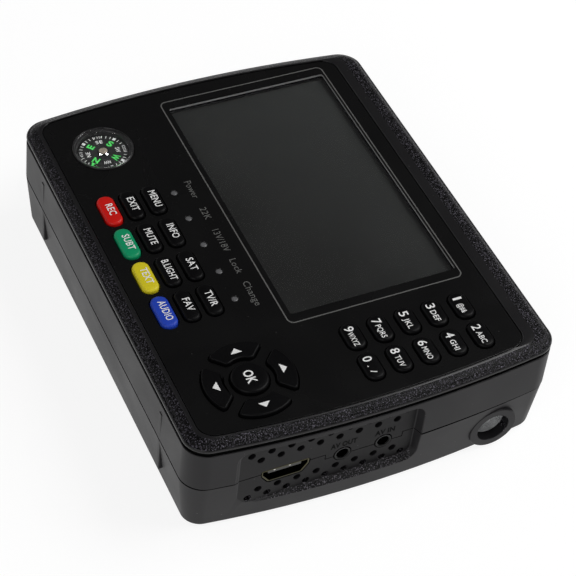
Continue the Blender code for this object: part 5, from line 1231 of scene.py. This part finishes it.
def right_sockets():
    bm = bmesh.new()
    solid(bm, video_face(bm, 0.0, SHELL_BACK_X), [
        (0, SOCKET_FACE_X - SHELL_BACK_X - 0.00012), *round_over(0.00012, 2), (0.00026, 0),
        (0.00012, -0.00012), (0, -SHELL_DEPTH)])
    piece("video_socket_shell", bm, [OLIVE_STEEL], "case", ["video_socket"], turn=TO_RIGHT)
    middle = VIDEO_TOP_Z - VIDEO_SHOULDER + 0.0007
    bm = block([(0, 0.0092), (0.0003, 0.0003)], 0.0112, 0.0022, 0.0004, 3, (VIDEO_Y, middle), 0.0632)
    piece("video_socket_tongue", bm, [TONGUE_PLASTIC], "case", turn=TO_RIGHT)
    bm = bmesh.new()
    for side, count, start in ((1, 10, -0.0045), (-1, 9, -0.0040)):
        for step in range(count):
            block([(0, 0.0078), CONTACT_EDGE], 0.00042, CONTACT_LIFT, 0,
                  centre=(VIDEO_Y + start + step * 0.001, middle + side * 0.00112), z=CONTACT_BACK_X, into=bm)
    piece("video_socket_contacts", bm, [GOLD], "case", turn=TO_RIGHT)
    bm = bmesh.new()
    for y in (-0.0331, -0.0282):
        rod([(0, 0.0003), *round_over(0.0002, 3)], 0.00032, 20, (y, VIDEO_TOP_Z - 0.0010), 0.0726, into=bm)
    piece("video_socket_dimples", bm, [STEEL], "case", smooth=60, turn=TO_RIGHT)

    wide, narrow = JACK_RING_RADIUS, JACK_BORE_RADIUS
    for name, y in JACK_PLACES:
        body = block([(0, 0.0108), (0.0002, 0.0002)], 0.0066, 0.0054, 0.0005, 3, (y, JACK_Z), 0.0601)
        bore = rod([(0, 0.012)], narrow + 0.0002, 40, (y, JACK_Z), 0.0627)
        for shape in (body, bore):
            turned(shape, shape.verts, TO_RIGHT)
        piece(name + "_body", combined(body, bore), [SOCKET_PLASTIC], "case", [name])
        bm = spun([
            (narrow, 0.0630), (narrow + 0.0001, 0.0630), (narrow + 0.0001, 0.0710), (wide, 0.0712),
            (wide, 0.0731), (wide - 0.0002, 0.0734), (wide - 0.0006, 0.07345), (narrow + 0.0001, 0.0733),
            (narrow, 0.0731), (narrow, 0.0630)], 48)
        piece(name + "_ring", bm, [RING_STEEL], "case", smooth=40, turn=TO_RIGHT, at=(0, y, JACK_Z))
    marks = [(words, RECESS_FLOOR_X + INK_LIFT, y, JACK_Z + 0.0046, 0.0021, width, 0.00011)
             for (_, y), words, width in zip(JACK_PLACES, ("AV OUT", "AV IN"), (0.0086, 0.0066))]
    lettering("jack_label_print", marks, DARK_INK, "case", TO_RIGHT)


def aerial_connector():
    """Flanged nut, threaded barrel, and a hollow tip with its contact."""
    base = RECESS_INNER_X
    tip = CASE_WIDTH / 2 + LNB_REACH
    profile = [(0, base - 0.0012), (0.0058, base - 0.0012), (0.0058, base - GAP), (LNB_RADIUS, base - GAP),
               (LNB_RADIUS, base + 0.0022)]
    at = base + 0.0026
    while at + THREAD_PITCH < tip - 0.0006:
        profile += [(LNB_RADIUS - THREAD_PITCH / 2, at), (LNB_RADIUS, at + THREAD_PITCH / 2)]
        at += THREAD_PITCH
    profile += [(LNB_RADIUS - 0.0006, tip - 0.0003), (LNB_RADIUS - 0.0009, tip), (0.0036, tip),
                (0.0036, tip - 0.0004), (0.0022, tip - 0.0006), (0.0012, tip - 0.0012),
                (0.0006, tip - 0.0016), (0.0006, tip - 0.006), (0, tip - 0.006)]
    piece("aerial_connector", spun(profile, 56), [STEEL], "case", ["lnb_connector"], smooth=28,
          turn=TO_LEFT, at=(0, LNB_Y, LNB_Z))


def left_sockets():
    place = (-DC_Y, DC_Z)
    bm = block([(0, 0.0118), (0.0002, 0.0002)], 0.0100, 0.0105, 0.0006, 3, place, 0.0591)
    nose = rod([(0, 0.0031), *round_over(0.0002, 3)], DC_NOSE_RADIUS, 56, place, 0.0700)
    bore = rod([(0, 0.00873), *flare_out(0.0003, 3), (0, 0.001)], DC_BORE_RADIUS, 56, place, 0.0643)
    bm = combined(combined(bm, nose, operation="UNION"), bore)
    piece("power_inlet_body", bm, [SOCKET_PLASTIC], "case", ["power_inlet"], turn=TO_LEFT)
    bm = spun([(0, 0.0640), (0.0009, 0.0640), (0.0009, 0.0722), (0.0006, 0.0728), (0, 0.0730)], 28)
    piece("power_inlet_pin", bm, [STEEL], "case", smooth=50, turn=TO_LEFT, at=(0, DC_Y, DC_Z))

    bm = block([(0, SOCKET_FACE_X - SHELL_BACK_X - 0.0001), *round_over(0.0001, 2), (0.0002, 0),
                (0.0001, -0.0001), (0, -SHELL_DEPTH)],
               DATA_WIDTH, DATA_HEIGHT, 0.0005, 4, (-DATA_Y, DATA_Z), SHELL_BACK_X)
    piece("data_socket_shell", bm, [STEEL], "case", ["data_socket"], turn=TO_LEFT)
    bm = block([(0, 0.0094), (0.0002, 0.0003)], 0.0110, 0.0018, 0.0002, 3, (-DATA_Y, DATA_Z + 0.0008), 0.0630)
    piece("data_socket_tongue", bm, [SOCKET_PLASTIC], "case", turn=TO_LEFT)
    bm = bmesh.new()
    for step in range(4):
        block([(0, 0.0080), CONTACT_EDGE], 0.0010, CONTACT_LIFT, 0,
              centre=(-DATA_Y - 0.00375 + step * 0.0025, DATA_Z - CONTACT_LIFT), z=CONTACT_BACK_X, into=bm)
    piece("data_socket_contacts", bm, [GOLD], "case", turn=TO_LEFT)

    knob_y = SWITCH_Y - SWITCH_TRAVEL / 2
    reach = RECESS_FLOOR_X + SWITCH_KNOB_REACH
    bm = block([(0, reach - 0.0700 - 0.0003), *round_over(0.0003, 3)], SWITCH_KNOB_WIDTH, SWITCH_KNOB_HEIGHT,
               0.0003, 4, (-knob_y, SWITCH_Z), 0.0700)
    notches = bmesh.new()
    for step in (-1, 0, 1):
        block([(0, 0.001)], 0.0004, 0.006, 0, centre=(-knob_y + step * 0.0009, SWITCH_Z), z=reach - 0.0003,
              into=notches)
    piece("power_switch_slider", combined(bm, notches), [SOCKET_PLASTIC], "power_switch",
          ["power_switch_knob"], turn=TO_LEFT)
    marks = [(words, -RECESS_FLOOR_X - INK_LIFT, SWITCH_Y + shift, SWITCH_Z + 0.0032, 0.0014, width, 0.00003)
             for words, shift, width in (("ON", 0.0022, 0.0022), ("OFF", -0.0022, 0.0030))]
    lettering("switch_print", marks, GREY_INK, "case", TO_LEFT)


def torch():
    """Ribbed lens, its rings 0.8 mm apart."""
    radius = TORCH_BORE_RADIUS - GAP
    face = TORCH_LENS_X
    profile = [(0, LENS_BACK_X), (radius, LENS_BACK_X), (radius, face - 0.0002), (radius - 0.0002, face)]
    for step in range(5):
        ring = 0.0044 - step * 0.0008
        profile += [(ring, face), (ring - 0.0001, face - 0.00018), (ring - 0.0005, face)]
    profile += [(0, face + 0.0001)]
    piece("torch_lens_disc", spun(profile, 64), [FROSTED_PLASTIC], "case", ["torch_lens"],
          smooth=25, turn=TO_RIGHT, at=(0, TORCH_Y, TORCH_Z))


def screws():
    """Case screws with a cross recess, seen up the holes of the base."""
    for number, spot in enumerate(SCREW_PLACES, 1):
        bm = spun([(0, 0.0082), (0.0018, 0.0080), (0.0025, 0.0083), (0.0028, 0.0089), (0.0028, 0.0097),
                   (0.0013, 0.0097), (0.0013, 0.0260), (0.0006, 0.0277), (0, 0.0277)], 36, spot)
        slots = [block([(0, 0.0012), (0.00025, 0.0010)], width, depth, 0.0001, 2, spot, 0.0070)
                 for width, depth in ((0.0026, 0.0007), (0.0007, 0.0026))]
        piece("case_screw_%d_turned" % number, combined(bm, *slots), [STEEL], "case",
              ["case_screw_%d" % number], smooth=30)


def carried_over():
    """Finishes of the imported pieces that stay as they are."""
    for finish, names in (
        (GASKET_RUBBER, ["window_gasket"]), (TINNED, ["lcd_frame", "tuner_can"]),
        (BLACK_RUBBER, ["keypad_sheet"]), (BOARD_GREEN, ["front_board", "main_board"]),
        (FROSTED_PLASTIC, ["torch_lamp"]), (SOCKET_PLASTIC, ["power_switch_body"]),
        (SPEAKER_BLACK, ["speaker"]), (CELL_WRAP, ["battery_cell_a", "battery_cell_b"]),
    ):
        for name in names:
            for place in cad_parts[name].material_slots:
                place.material = finish


# Floor, light and camera

def pale_floor():
    """Pale paper that takes the shadow, and that the camera and every reflection see white."""
    bm = bmesh.new()
    bmesh.ops.create_grid(bm, x_segments=1, y_segments=1, size=3.0)
    mesh = bpy.data.meshes.new("pale_floor")
    bm.to_mesh(mesh)
    bm.free()
    floor = shown("pale_floor", mesh)
    floor.location = (0, 0, -0.00005)
    paper = bpy.data.materials.new("pale paper")
    paper.use_nodes = True
    tree = paper.node_tree
    tree.nodes.remove(tree.nodes["Principled BSDF"])
    rays = node(tree, "LightPath").outputs
    seen = maths(tree, "MAXIMUM", rays["Is Camera Ray"],
                 maths(tree, "MAXIMUM", rays["Is Glossy Ray"], rays["Is Transmission Ray"]))
    matt = node(tree, "BsdfDiffuse", [("Color", (0.82, 0.82, 0.82, 1.0))])
    faint = node(tree, "BsdfDiffuse", [("Color", (0.22, 0.22, 0.22, 1.0))])
    glow = node(tree, "Emission", [("Color", (1, 1, 1, 1)), ("Strength", 0.86)])
    white = node(tree, "AddShader", [(0, faint.outputs[0]), (1, glow.outputs[0])])
    chosen = node(tree, "MixShader", [(0, seen), (1, matt.outputs[0]), (2, white.outputs[0])])
    tree.links.new(chosen.outputs[0], tree.nodes["Material Output"].inputs["Surface"])
    mesh.materials.append(paper)


def backdrop():
    """White to the camera. Its light is brightest low down, with a dark flag behind the object."""
    world = bpy.data.worlds.new("studio")
    world.use_nodes = True
    bpy.context.scene.world = world
    tree = world.node_tree
    place = node(tree, "TexCoord").outputs["Generated"]
    height = node(tree, "SeparateXYZ", [(0, place)]).outputs["Z"]
    fall = ramp(tree, height, 0.05, 0.55, 0.95, 0.07)
    flag = ramp(tree, along(tree, place, (-0.6, 0.8, -1.0)), 0.1, 0.6, 1.0, 0.12)
    seen = node(tree, "LightPath").outputs["Is Camera Ray"]
    level = blend_colours(tree, seen, maths(tree, "MULTIPLY", fall, flag), (1, 1, 1, 1))
    tree.links.new(level, tree.nodes["Background"].inputs["Color"])


def lamp(name, shape, size, power, place, aim):
    light = bpy.data.lights.new(name, "AREA")
    light.shape = shape
    light.size = size
    light.energy = power
    item = shown(name, light)
    item.location = place
    item.rotation_euler = (Vector(aim) - Vector(place)).to_track_quat("-Z", "Y").to_euler()


def studio():
    pale_floor()
    backdrop()
    lamp("overhead_softbox", "SQUARE", 0.80, 9.0, (0.15, 0.80, 1.00), (0, 0, 0))
    lamp("front_softbox", "SQUARE", 0.70, 3.2, (0.75, -0.75, 0.80), (0, 0, 0.02))
    lamp("side_softbox", "SQUARE", 0.60, 0.5, (-0.70, -0.60, 0.90), (0, 0, 0.02))
    # Two tiny lamps that glint in the compass's pane
    for name, place in (("left_glint_lamp", (-0.8655, 0.2791, 0.8530)),
                        ("right_glint_lamp", (-0.8642, 0.2851, 0.8530))):
        lamp(name, "DISK", 0.0024, 0.0004, place, (COMPASS_X, COMPASS_Y, 0))


def camera():
    lens = bpy.data.cameras.new("camera")
    lens.lens = 117.877
    lens.sensor_width = 36.0
    lens.clip_start = 0.01
    item = shown("camera", lens)
    right = Vector((0.41247, 0.90688, 0.08626))
    up = Vector((-0.68588, 0.24684, 0.68457))
    back = Vector((0.59953, -0.34152, 0.72383))
    turn = Matrix((right, up, back)).transposed().to_4x4()
    item.matrix_world = Matrix.Translation((0.370722, -0.203292, 0.451550)) @ turn
    bpy.context.scene.camera = item


for make in (front_cover, back_cover, front_panel, display, keys, lamps, compass, right_sockets,
             aerial_connector, left_sockets, torch, screws, carried_over, studio, camera):
    make()
bpy.context.scene.view_settings.view_transform = "Standard"
